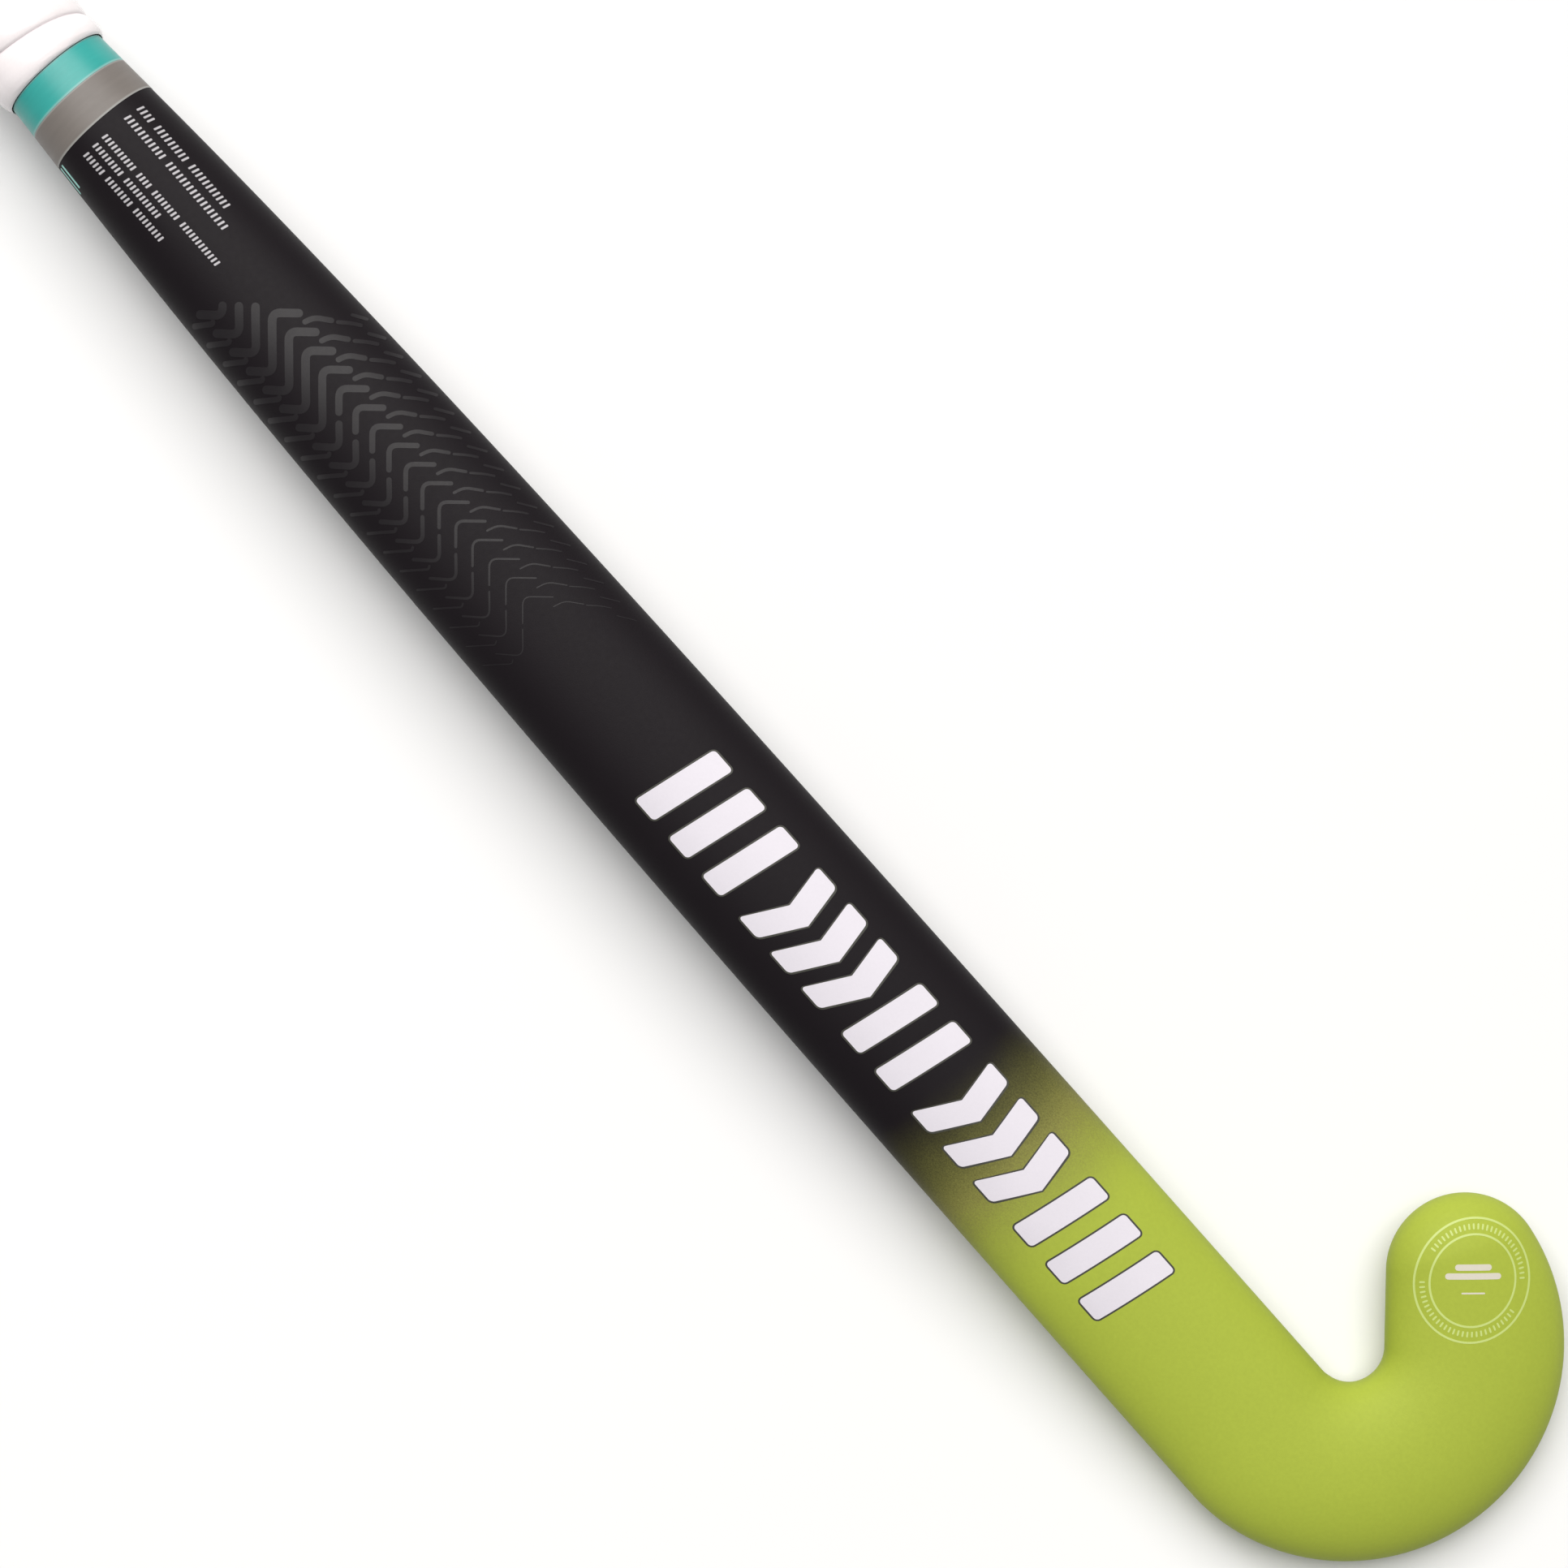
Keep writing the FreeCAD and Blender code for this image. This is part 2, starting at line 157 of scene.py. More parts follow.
class StickPaint(PropertyGroup):
    """Colours and finish of the shell, the grip and the tapes."""
    shaft: colour("Shaft", (0.0085, 0.0062, 0.0080), "Paint of the shaft")
    head: colour("Head", (0.366, 0.440, 0.052), "Paint of the head")
    fade_middle: colour("Fade middle", (0.210, 0.205, 0.052), "Where the two paints mist together")
    fade_start_x: length("Fade start", 0.2745, "Where the head colour starts to show")
    fade_end_x: length("Fade end", 0.336, "Where the head colour covers fully")
    roughness: share("Paint roughness", 0.58, "Roughness of the soft-touch paint")
    grip: colour("Grip", (0.90, 0.845, 0.855), "Grip polyurethane")
    finishing_tape: colour("Finishing tape", (0.039, 0.338, 0.308), "Tape that closes the grip")
    border_tape: colour("Border tape", (0.175, 0.156, 0.142), "Tape under the finishing tape")
    white: colour("White ink", (0.70, 0.665, 0.72), "Ink of the blocks and the small bars")
    badge: colour("Badge ink", (0.52, 0.62, 0.19), "Ink of the toe badge")


class StickPrints(PropertyGroup):
    """Sizes of the printed graphics."""
    lift: length("Ink height", 0.00005, "How far a print stands over the paint")
    block_start_x: length("Blocks start", 0.168, "Where the row of blocks starts")
    block_height: length("Block height", 0.0245, "Height of a block, across the shaft")
    block_stroke: length("Block stroke", 0.0074, "Width of a bar or chevron")
    block_slant: number("Slant", 0.16, "How far a block leans towards the head, over its height")
    block_rounding: length("Block rounding", 0.0011, "Rounding of the blocks' corners")
    outline: length("Outline", 0.0005, "Width of the dark line round a block")
    wave_start_x: length("Waves start", 0.0124, "Middle of the first full row of waves")
    wave_rows: count("Wave rows", 16, "Full rows of waves down the shaft")
    wave_pitch: length("Wave pitch", 0.00665, "Distance from one row of waves to the next")
    wave_width: length("Wave width", 0.0021, "Width of the boldest wave")
    badge_x: length("Badge X", 0.4110, "Middle of the badge, along the stick")
    badge_y: length("Badge Y", 0.0366, "Middle of the badge, across the stick")
    badge_radius: length("Badge radius", 0.0155, "Radius of the badge's outer ring")


class StickStage(PropertyGroup):
    """Floor, lights and camera."""
    floor: colour("Floor", (0.82, 0.82, 0.82), "Floor colour")
    daylight: number("Daylight", 0.14, "Strength of the light from all round")
    key_strength: number("Key light", 3.62, "Strength of the broad key light")
    key_softness: angle("Key softness", 58.0, "How wide the key light is, seen from the stick")
    lamp_power: FloatProperty(name="Lamp", default=1.8, description="Power of the lamp by the butt",
                              unit="POWER")
    camera_height: length("Camera height", 1.11, "Height of the camera")
    camera_x: length("Camera X", 0.1889, "Place of the camera along the stick")
    camera_y: length("Camera Y", -0.0138, "Place of the camera across the stick")
    camera_turn: angle("Camera turn", 48.57, "How far the picture is turned round its middle")
    lens: FloatProperty(name="Lens", default=92.85, description="Focal length on a 36 mm sensor",
                        unit="CAMERA")


# ---- the bar that every piece follows --------------------------------------------------------

class Station:
    """One section: its middle, the way across it towards the heel, its half width, and how far it
    is cut from the ridge of the back: offset is 0 on the ridge and 1 at the tip of the toe."""

    def __init__(self, middle, across, half, offset=0.0):
        self.middle = middle
        self.across = across
        self.half = half
        self.offset = offset


class Bar:
    """The moulded bar: its sections, and any point of its surface or of a layer over it."""

    HOOK_STEPS = 56
    TOE_STEPS = 14
    NOSE_STEPS = 26
    FIRST_TURN = 1 / 12          # the shaft's last widening is spread over this part of the hook
    FLAT_LIMIT = 0.9             # widest share of a section that its flat side may take
    FINE_REACH = 0.03

    def __init__(self, settings):
        self.s = s = settings
        self.butt_x = CAD_BOX[0].x
        self.end_x = CAD_BOX[1].x
        self.shell_top_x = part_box("outer_shell")[0].x
        self.face_low_x = self.end_x - (s.head_half_width - s.head_flat) + s.face_overrun
        self.head_slope = s.bow / (self.face_low_x - (s.bow_top_x + s.bow_end_x) / 2)
        self.handle_slope = ((s.bow - s.butt_rise)
                             / ((s.bow_top_x + s.taper_top_x) / 2 - self.butt_x))
        self.hook_x = self.end_x - s.outer_radius
        self.inner_radius = s.outer_radius - 2 * s.head_half_width
        self.band_radius = s.outer_radius - s.head_half_width
        self.nose_out = self.inner_radius + s.nose_radius
        self.nose_along = math.sqrt((s.outer_radius - s.nose_radius) ** 2 - self.nose_out ** 2)
        self.nose_side = math.atan2(self.nose_along, self.nose_out)
        self.nose_half_arc = (math.pi - self.nose_side) / 2
        reach = (self.nose_out * -math.cos(s.turn) + self.nose_along * math.sin(s.turn)
                 + s.nose_radius)
        self.shaft_y = -(self.band_radius + reach - s.head_half_width) / 2
        self.hook_y = self.shaft_y + self.band_radius

    def fade(self, x, run_length):
        """1 on the handle, falling towards 0 down the shaft."""
        s = self.s
        run = s.taper_softness * math.log(1 + math.exp((x - s.taper_top_x) / s.taper_softness))
        return math.exp(-run / run_length)

    def between(self, head, handle, x, run_length):
        return head + (handle - head) * self.fade(x, run_length)

    def half_width(self, x):
        s = self.s
        return self.between(s.head_half_width, s.handle_half_width, x, s.taper_length)

    def thickness(self, x):
        s = self.s
        return self.between(s.head_thickness, s.handle_thickness, x, s.thickness_length)

    def edge_height(self, x):
        s = self.s
        widest = self.between(s.head_edge_share, s.handle_edge_share, x, s.flat_length)
        return widest * self.thickness(x)

    def face_height(self, x):
        """Height of the playing side over the table."""
        s = self.s
        if x >= s.bow_end_x:
            return self.head_slope * (self.face_low_x - x) - s.face_skim
        if x > s.bow_top_x:
            return (s.bow - s.face_skim
                    - self.head_slope * (x - s.bow_top_x) ** 2 / 2 / (s.bow_end_x - s.bow_top_x))
        bend = s.bow_top_x - s.taper_top_x
        run = min(s.bow_top_x - x, bend)
        bowed = self.handle_slope * run ** 2 / 2 / bend
        return s.bow - s.face_skim - bowed - self.handle_slope * (s.bow_top_x - x - run)

    def back_rise(self, x, inset, ridge):
        deep = self.thickness(x) - inset
        edge = self.edge_height(x)
        return edge + (deep - edge) * max(0.0, 1 - ridge ** self.s.back_power) ** (1 / self.s.back_power)

    def face_rise(self, x, half, inset, ridge):
        s = self.s
        edge = self.edge_height(x)
        flat = self.between(s.head_flat, s.handle_flat, x, s.flat_length)
        flat_share = min((flat - inset / 3) / half, self.FLAT_LIMIT)
        rounding = max(0.0, (ridge - flat_share) / (1 - flat_share))
        return inset + (edge - inset) * (1 - math.sqrt(max(0.0, 1 - rounding ** 2)))

    def shaft_station(self, x, inset=0.0):
        return Station(Vector((x, self.shaft_y, 0)), Vector((0, -1, 0)), self.half_width(x) - inset)

    def point(self, station, inset, across, on_back):
        """A point of a section, where across runs from -1 at the toe side to 1 at the heel side."""
        x = min(station.middle.x, self.hook_x)
        ridge = math.sqrt(station.offset ** 2 + (1 - station.offset ** 2) * across ** 2)
        half = station.half if station.offset == 0 else self.s.head_half_width - inset
        if on_back:
            rise = self.back_rise(x, inset, ridge)
        else:
            rise = self.face_rise(x, half, inset, ridge)
        spot = station.middle + station.across * (station.half * across)
        return Vector((spot.x, spot.y, self.face_height(spot.x) + rise))

    def around(self, station, turn, inset=0.0):
        """A point of a section by its turn round it: 0 at the heel edge, 0.25 on the ridge, 0.5 at
        the toe edge and 0.75 in the middle of the playing side."""
        turn = turn % 1.0
        return self.point(station, inset, math.cos(2 * math.pi * turn), turn < 0.5)

    def over_shaft(self, x, turn, lift):
        """A point of a layer round the shaft, lift above the paint."""
        return self.around(self.shaft_station(x, -lift), turn, -lift)

    def on_back(self, x, y, lift):
        """The point of the shaft's back over (x, y), lift above the paint."""
        station = self.shaft_station(x, -lift)
        return self.point(station, -lift, (self.shaft_y - y) / station.half, True)

    def hook_point(self, out, along):
        """A point of the toe, from the hook's centre: out across the toe and along it."""
        across = Vector((math.sin(self.s.turn), -math.cos(self.s.turn), 0))
        forward = Vector((math.cos(self.s.turn), math.sin(self.s.turn), 0))
        return Vector((self.hook_x, self.hook_y, 0)) + across * out + forward * along

    def chord_station(self, inner, outer, offset):
        chord = outer - inner
        way = chord.normalized() if chord.length > EXACT else Vector((0, -1, 0))
        return Station((inner + outer) / 2, way, chord.length / 2, offset)

    def shaft_places(self):
        s = self.s
        places, x = [], self.shell_top_x
        while x < self.hook_x - s.fine_step:
            places.append(x)
            x += s.fine_step if abs(x - s.taper_top_x) < self.FINE_REACH else s.step
        return places + [self.hook_x]

    def hook_stations(self):
        """Sections round the hook's even band."""
        s = self.s
        missing = s.head_half_width - self.half_width(self.hook_x)
        stations = []
        for step in range(1, self.HOOK_STEPS + 1):
            part = step / self.HOOK_STEPS
            across = Vector((math.sin(s.turn * part), -math.cos(s.turn * part), 0))
            middle = Vector((self.hook_x, self.hook_y, 0)) + across * self.band_radius
            half = s.head_half_width - missing * max(0.0, 1 - part / self.FIRST_TURN)
            stations.append(Station(middle, across, half))
        return stations

    def toe_stations(self):
        """Sections down the toe, then across its nose to the tip."""
        s = self.s
        stations = []
        for step in range(1, self.TOE_STEPS + 1):
            part = step / self.TOE_STEPS
            inner = self.hook_point(self.inner_radius, self.nose_along * part)
            outer = self.hook_point(s.outer_radius * math.cos(self.nose_side * part),
                                    s.outer_radius * math.sin(self.nose_side * part))
            stations.append(self.chord_station(inner, outer, math.cos(self.nose_half_arc) * part))
        tip = self.nose_side + self.nose_half_arc
        for step in range(1, self.NOSE_STEPS + 1):
            spread = self.nose_half_arc * (1 - step / self.NOSE_STEPS)
            inner, outer = (
                self.hook_point(self.nose_out + s.nose_radius * math.cos(tip + side * spread),
                                self.nose_along + s.nose_radius * math.sin(tip + side * spread))
                for side in (1, -1))
            stations.append(self.chord_station(inner, outer, math.cos(spread)))
        return stations

    def stations(self):
        shaft = [self.shaft_station(x) for x in self.shaft_places()]
        return shaft + self.hook_stations() + self.toe_stations()

    def faced(self, spot):
        """The point, lifted to the head's flat face where it lies below it."""
        if spot.x > self.s.bow_end_x:
            spot.z = max(spot.z, self.head_slope * (self.face_low_x - spot.x))
        return spot


# ---- modelling tools -------------------------------------------------------------------------

def start_clean():
    if bpy.context.object and bpy.context.object.mode != "OBJECT":
        bpy.ops.object.mode_set(mode="OBJECT")
    bpy.ops.object.select_all(action="DESELECT")


def named(name):
    """The primitive just added, under its own name."""
    piece = bpy.context.object
    piece.name = name
    piece.data.name = name
    return piece


def focus(piece):
    start_clean()
    piece.select_set(True)
    bpy.context.view_layer.objects.active = piece


def flat_grid(name, columns, rows):
    """A flat sheet of columns by rows faces, to be wound on the bar."""
    start_clean()
    bpy.ops.mesh.primitive_grid_add(x_subdivisions=columns, y_subdivisions=rows, size=1)
    return named(name)


def shape(piece, place):
    """Moves every vertex to where place puts it."""
    for vertex in piece.data.vertices:
        vertex.co = place(vertex.co)
    piece.data.update()


def edit_all(piece):
    focus(piece)
    bpy.ops.object.mode_set(mode="EDIT")
    bpy.ops.mesh.select_all(action="SELECT")


def edit_done():
    bpy.ops.object.mode_set(mode="OBJECT")


def pick(piece, mode, test):
    """In edit mode, selects the vertices, edges or faces that pass the test, by their middle."""
    bpy.ops.mesh.select_mode(type=mode)
    bpy.ops.mesh.select_all(action="DESELECT")
    mesh = bmesh.from_edit_mesh(piece.data)
    for item in {"VERT": mesh.verts, "EDGE": mesh.edges, "FACE": mesh.faces}[mode]:
        item.select_set(test(item))
    mesh.select_flush_mode()
    bmesh.update_edit_mesh(piece.data)


def all_at(test):
    """A pick test that an edge or face passes when all its corners do."""
    return lambda item: all(test(vertex.co) for vertex in item.verts)


def cut(piece, places, along, clear_below=False, clear_above=False):
    """Cuts the piece at places along one axis, and clears what lies outside if asked."""
    normal = Vector([1.0 if axis == along else 0.0 for axis in range(3)])
    edit_all(piece)
    for place in places:
        bpy.ops.mesh.select_all(action="SELECT")
        bpy.ops.mesh.bisect(plane_co=normal * place, plane_no=normal, threshold=MERGE,
                            clear_inner=clear_below, clear_outer=clear_above)
    edit_done()


def weld(piece, within=MERGE):
    """Joins the seams and turns every face outwards."""
    edit_all(piece)
    bpy.ops.mesh.remove_doubles(threshold=within)
    bpy.ops.mesh.dissolve_degenerate(threshold=within)
    bpy.ops.mesh.select_all(action="SELECT")
    bpy.ops.mesh.normals_make_consistent(inside=False)
    edit_done()


def modify(piece, kind, **settings):
    """Adds a modifier and applies it."""
    focus(piece)
    modifier = piece.modifiers.new(kind.lower(), kind)
    for name, value in settings.items():
        setattr(modifier, name, value)
    bpy.ops.object.modifier_apply(modifier=modifier.name)


def give_wall(piece, wall, outwards=0.0):
    """Gives a skin its wall: outwards is the share of it that lies outside the skin."""
    modify(piece, "SOLIDIFY", thickness=wall, offset=2 * outwards - 1, use_rim=True)


def smooth(piece, degrees=40.0):
    focus(piece)
    bpy.ops.object.shade_smooth_by_angle(angle=math.radians(degrees))


def finish(piece, material, slot, *nodes):
    """Gives the piece its material and its body, and hides the nodes that it stands for."""
    piece.data.materials.clear()
    piece.data.materials.append(material)
    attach(piece, "root")
    if nodes:
        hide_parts(*nodes)


def join(pieces, name):
    start_clean()
    for piece in pieces:
        piece.select_set(True)
    bpy.context.view_layer.objects.active = pieces[0]
    if len(pieces) > 1:
        bpy.ops.object.join()
    bpy.ops.object.transform_apply(location=True, rotation=True, scale=True)
    return named(name)


def ribbons(name, lines):
    """A flat mesh of ribbons: each line is a list of (middle, half width), and ends in a point or
    closes on itself."""
    points, faces = [], []
    for line in lines:
        closed = (line[0][0] - line[-1][0]).length < MERGE
        middles = [middle for middle, _ in line]
        first = len(points)
        for place, (middle, half) in enumerate(line):
            before = middles[-2] if closed and place == 0 else middles[max(place - 1, 0)]
            after = middles[1] if closed and place == len(line) - 1 else middles[
                min(place + 1, len(line) - 1)]
            way = (after - before).normalized()
            side = Vector((-way.y, way.x, 0)) * half
            points += [middle + side, middle, middle - side]
        for row in range(len(line) - 1):
            corner = first + 3 * row
            for lane in (0, 1):
                faces.append((corner + lane, corner + lane + 1, corner + lane + 4, corner + lane + 3))
    mesh = bpy.data.meshes.new(name)
    mesh.from_pydata(points, [], faces)
    piece = bpy.data.objects.new(name, mesh)
    bpy.context.scene.collection.objects.link(piece)
    edit_all(piece)
    bpy.ops.mesh.remove_doubles(threshold=MERGE)
    bpy.ops.mesh.dissolve_degenerate(threshold=MERGE)
    edit_done()
    return piece


# ---- shader tools ----------------------------------------------------------------------------

class Value:
    """A shader output, on which arithmetic adds Math nodes."""

    def __init__(self, look, socket):
        self.look = look
        self.socket = socket

    def maths(self, operation, *others):
        sockets = dict(enumerate((self,) + others))
        return self.look.node("ShaderNodeMath", {"operation": operation}, sockets)

    def __add__(self, other):
        return self.maths("ADD", other)

    def __sub__(self, other):
        return self.maths("SUBTRACT", other)

    def __rsub__(self, other):
        return self.look.value(other).maths("SUBTRACT", self)

    def __mul__(self, other):
        return self.maths("MULTIPLY", other)

    def __truediv__(self, other):
        return self.maths("DIVIDE", other)

    def __pow__(self, other):
        return self.maths("POWER", other)

    __radd__ = __add__
    __rmul__ = __mul__

    def clamped(self):
        return self.maths("MAXIMUM", 0.0).maths("MINIMUM", 1.0)

    def step(self, start, end):
        """0 before start and 1 after end, with a soft change between them."""
        return self.look.node("ShaderNodeMapRange", {"interpolation_type": "SMOOTHSTEP"},
                              {"Value": self, "From Min": start, "From Max": end})


class Look:
    """A material, built from its shader outwards."""

    def __init__(self, name, **constants):
        self.material = bpy.data.materials.new(name)
        self.material.use_nodes = True
        self.tree = self.material.node_tree
        self.shader = self.tree.nodes["Principled BSDF"]
        for socket, value in constants.items():
            self.set(self.shader.inputs[socket.replace("_", " ")], value)
        self.place = self.node("ShaderNodeTexCoord", {}, {}, "Object")

    def set(self, socket, value):
        if isinstance(value, Value):
            self.tree.links.new(value.socket, socket)
        elif hasattr(value, "__len__") and socket.type == "RGBA":
            socket.default_value = tuple(value)[:3] + (1.0,)
        else:
            socket.default_value = value

    def node(self, kind, settings, sockets, output=0):
        """Any node: its settings first, then the values or links of its sockets."""
        node = self.tree.nodes.new(kind)
        for name, value in settings.items():
            if name == "stops":
                ramp = node.color_ramp
                while len(ramp.elements) < len(value):
                    ramp.elements.new(0.5)
                for stop, (position, shade) in zip(ramp.elements, value):
                    stop.position = position
                    stop.color = tuple(shade)[:3] + (1.0,)
            else:
                setattr(node, name, value)
        for name, value in sockets.items():
            self.set(node.inputs[name], value)
        return Value(self, node.outputs[output])

    def value(self, number):
        node = self.node("ShaderNodeValue", {}, {})
        node.socket.default_value = number
        return node

    def axis(self, name):
        return self.node("ShaderNodeSeparateXYZ", {}, {"Vector": self.place}, name)

    def stretched(self, x=1.0, y=1.0, z=1.0):
        """The place on the stick, stretched so that a pattern runs along one axis."""
        return self.node("ShaderNodeMapping", {}, {"Vector": self.place, "Scale": (x, y, z)})

    def noise(self, scale, detail=3.0, place=None, roughness=0.5):
        """Cloudy noise from 0 to 1, with scale patches to the metre."""
        return self.node("ShaderNodeTexNoise", {}, {
            "Vector": place or self.place, "Scale": scale, "Detail": detail,
            "Roughness": roughness})

    def cells(self, scale, place=None, feature="F1"):
        return self.node("ShaderNodeTexVoronoi", {"feature": feature},
                         {"Vector": place or self.place, "Scale": scale})

    def mix(self, factor, first, second, blend="MIX"):
        """A colour between two, or one multiplied by the other."""
        return self.node("ShaderNodeMix", {"data_type": "RGBA", "blend_type": blend},
                         {0: factor, 6: first, 7: second}, 2)

    def shaded(self, base, light):
        """The colour made lighter or darker by a number round 1."""
        return self.node("ShaderNodeVectorMath", {"operation": "SCALE"},
                         {0: base, "Scale": light})

    def bump(self, height, distance, strength=1.0):
        self.set(self.shader.inputs["Normal"],
                 self.node("ShaderNodeBump", {}, {"Height": height, "Distance": distance,
                                                  "Strength": strength}))

    def feed(self, socket, value):
        self.set(self.shader.inputs[socket], value)


# ---- materials -------------------------------------------------------------------------------

def airbrushed(look, paint):
    """The shaft colour fading into the head colour, as a spray gun leaves it."""
    x = look.axis("X")
    drift = (look.noise(55.0, 2.0) - 0.5) * (7 * MM)
    cover = (x + drift).step(paint.fade_start_x, paint.fade_end_x)
    droplets = (look.noise(2600.0, 1.0) - 0.5) * 1.5
    cover = (cover + cover * (1.0 - cover) * droplets).clamped()
    clouds = look.noise(16.0, 3.0) * 0.10 + look.noise(900.0, 2.0) * 0.12 + 0.89
    base = look.node("ShaderNodeValToRGB", {"stops": (
        (0.0, paint.shaft), (0.5, paint.fade_middle), (1.0, paint.head))}, {"Fac": cover})
    return look.shaded(base, clouds), cover


def soft_touch_paint(paint):
    look = Look("soft_touch_paint", Specular_IOR_Level=0.14)
    base, cover = airbrushed(look, paint)
    rubs = look.noise(420.0, 4.0, look.stretched(0.12, 1.0, 1.0)).step(0.62, 0.74)
    low = 1.0 - look.axis("Z").step(0.0008, 0.0045)
    worn = (rubs * low * look.axis("X").step(0.36, 0.42)).clamped()
    look.feed("Base Color", look.mix(worn * 0.35, base, (0.30, 0.31, 0.22)))
    look.feed("Roughness", look.noise(700.0, 3.0) * 0.10 + paint.roughness - 0.05 - worn * 0.06)
    grain = look.noise(2400.0, 2.0) + look.noise(180.0, 2.0) * 0.8 + cover * 0.1
    look.bump(grain, 0.022 * MM)
    return look.material


def print_ink(name, base, roughness, streaks=0.05, gloss=0.4):
    """Pad-printed ink: nearly even, with faint pinholes and a little more gloss than the paint."""
    look = Look(name, Specular_IOR_Level=gloss)
    mottle = look.noise(1300.0, 3.0) * streaks + look.noise(90.0, 2.0) * streaks + 1.0 - streaks
    look.feed("Base Color", look.shaded(tuple(base), mottle))
    look.feed("Roughness", look.noise(900.0, 2.0) * 0.1 + roughness)
    look.bump(look.noise(1900.0, 2.0), 0.01 * MM)
    return look.material


def wound_polyurethane(paint):
    """Tacky white grip: fine stretch creases across each turn, and grey painted shade in the grooves
    between turns.
    """
    look = Look("wound_polyurethane", Specular_IOR_Level=0.55, Coat_Weight=0.25,
                Coat_Roughness=0.12, Subsurface_Weight=0.0)
    groove = look.node("ShaderNodeAttribute", {"attribute_name": "groove"}, {}, "Fac")
    warm = look.noise(34.0, 3.0)
    base = look.mix(warm.step(0.35, 0.75) * 0.5, tuple(paint.grip), (0.86, 0.80, 0.785))
    # painted shade: the colour is mixed towards grey in the grooves between turns
    base = look.mix(groove * 0.38, base, (0.34, 0.31, 0.34))
    look.feed("Base Color", look.shaded(base, look.noise(1500.0, 2.0) * 0.05 + 0.975))
    look.feed("Roughness", look.noise(300.0, 3.0) * 0.16 + 0.16 + groove * 0.2)
    creases = look.noise(520.0, 3.0, look.stretched(1.6, 0.35, 0.35))
    pores = look.cells(1500.0).step(0.02, 0.16)
    look.bump(creases * 1.6 + pores * 0.35, 0.045 * MM)
    return look.material


def banded_tape(name, base, node, roughness):
    """Vinyl tape: stretched round the handle, with paler edges where it thins."""
    low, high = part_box(node)
    look = Look(name, Specular_IOR_Level=0.35)
    x = look.axis("X")
    paler = (1.0 - x.step(low.x + 0.1 * MM, low.x + 0.55 * MM)
             + x.step(high.x - 0.75 * MM, high.x - 0.25 * MM)).clamped()
    pull = look.noise(900.0, 3.0, look.stretched(1.0, 0.10, 0.10))
    tone = look.shaded(tuple(base), pull * 0.16 + look.noise(120.0, 2.0) * 0.10 + 0.87)
    look.feed("Base Color", look.mix(paler * 0.25, tone, (0.62, 0.66, 0.64)))
    look.feed("Roughness", look.noise(500.0, 2.0) * 0.12 + roughness)
    look.bump(pull + look.noise(2100.0, 1.0) * 0.3, 0.02 * MM)
    return look.material


def moulded_plastic(name, base, roughness, spark=0.02):
    """Injection-moulded plastic with a fine spark texture."""
    look = Look(name, Specular_IOR_Level=0.5)
    tone = look.noise(60.0, 2.0) * 0.08 + 0.96
    look.feed("Base Color", look.shaded(tuple(base), tone))
    look.feed("Roughness", look.noise(800.0, 2.0) * 0.12 + roughness)
    look.bump(look.noise(1700.0, 3.0), spark * MM)
    return look.material


def woven_laminate(name, dark, light, tow, roughness=0.28):
    """Twill cloth in resin: tows crossing at right angles, each a little different."""
    look = Look(name, Specular_IOR_Level=0.5, Coat_Weight=0.4, Coat_Roughness=0.1)
    tows = 1 / tow
    weave = look.node("ShaderNodeTexChecker", {}, {
        "Vector": look.node("ShaderNodeMapping", {}, {"Vector": look.place,
                            "Rotation": (0.0, 0.0, math.radians(45))}),
        "Scale": tows}, "Fac")
    strands = look.noise(tows * 4, 2.0, look.stretched(0.15, 1.0, 1.0))
    look.feed("Base Color", look.mix(weave * 0.6 + strands * 0.4, tuple(dark), tuple(light)))
    look.feed("Roughness", strands * 0.14 + roughness)
    look.bump(weave * 0.6 + strands, 0.05 * MM)
    return look.material


def closed_cell_foam():
    look = Look("closed_cell_foam")
    walls = look.cells(1400.0, feature="DISTANCE_TO_EDGE").step(0.02, 0.16)
    look.feed("Base Color", look.mix(walls, (0.55, 0.50, 0.38), (0.80, 0.76, 0.63)))
    look.feed("Roughness", look.noise(300.0, 2.0) * 0.1 + 0.84)
    look.bump(walls, 0.3 * MM)
    return look.material


def straight_fibres():
    """Fibres running down the stick, in clear resin."""
    look = Look("straight_fibres", Coat_Weight=0.5, Coat_Roughness=0.08)
    fibres = look.noise(2200.0, 3.0, look.stretched(0.02, 1.0, 1.0))
    look.feed("Base Color", look.mix(fibres, (0.012, 0.012, 0.014), (0.085, 0.085, 0.095)))
    look.feed("Roughness", fibres * 0.2 + 0.25)
    look.bump(fibres, 0.04 * MM)
    return look.material


def filled_resin():
    """Head filler: resin foam with chopped fibres in it."""
    look = Look("filled_resin")
    bubbles = look.cells(900.0).step(0.05, 0.4)
    chopped = look.noise(1300.0, 4.0, look.stretched(0.4, 1.0, 1.0)).step(0.58, 0.68)
    base = look.mix(bubbles, (0.34, 0.31, 0.25), (0.52, 0.48, 0.40))
    look.feed("Base Color", look.mix(chopped * 0.5, base, (0.72, 0.70, 0.64)))
    look.feed("Roughness", bubbles * 0.1 + 0.7)
    look.bump(bubbles, 0.15 * MM)
    return look.material


def soft_gel():
    look = Look("soft_gel", Transmission_Weight=0.0, IOR=1.42, Coat_Weight=0.3)
    cloud = look.noise(140.0, 3.0)
    look.feed("Base Color", look.mix(cloud, (0.20, 0.46, 0.44), (0.38, 0.66, 0.62)))
    look.feed("Roughness", cloud * 0.15 + 0.18)
    look.bump(look.noise(260.0, 2.0), 0.12 * MM)
    return look.material


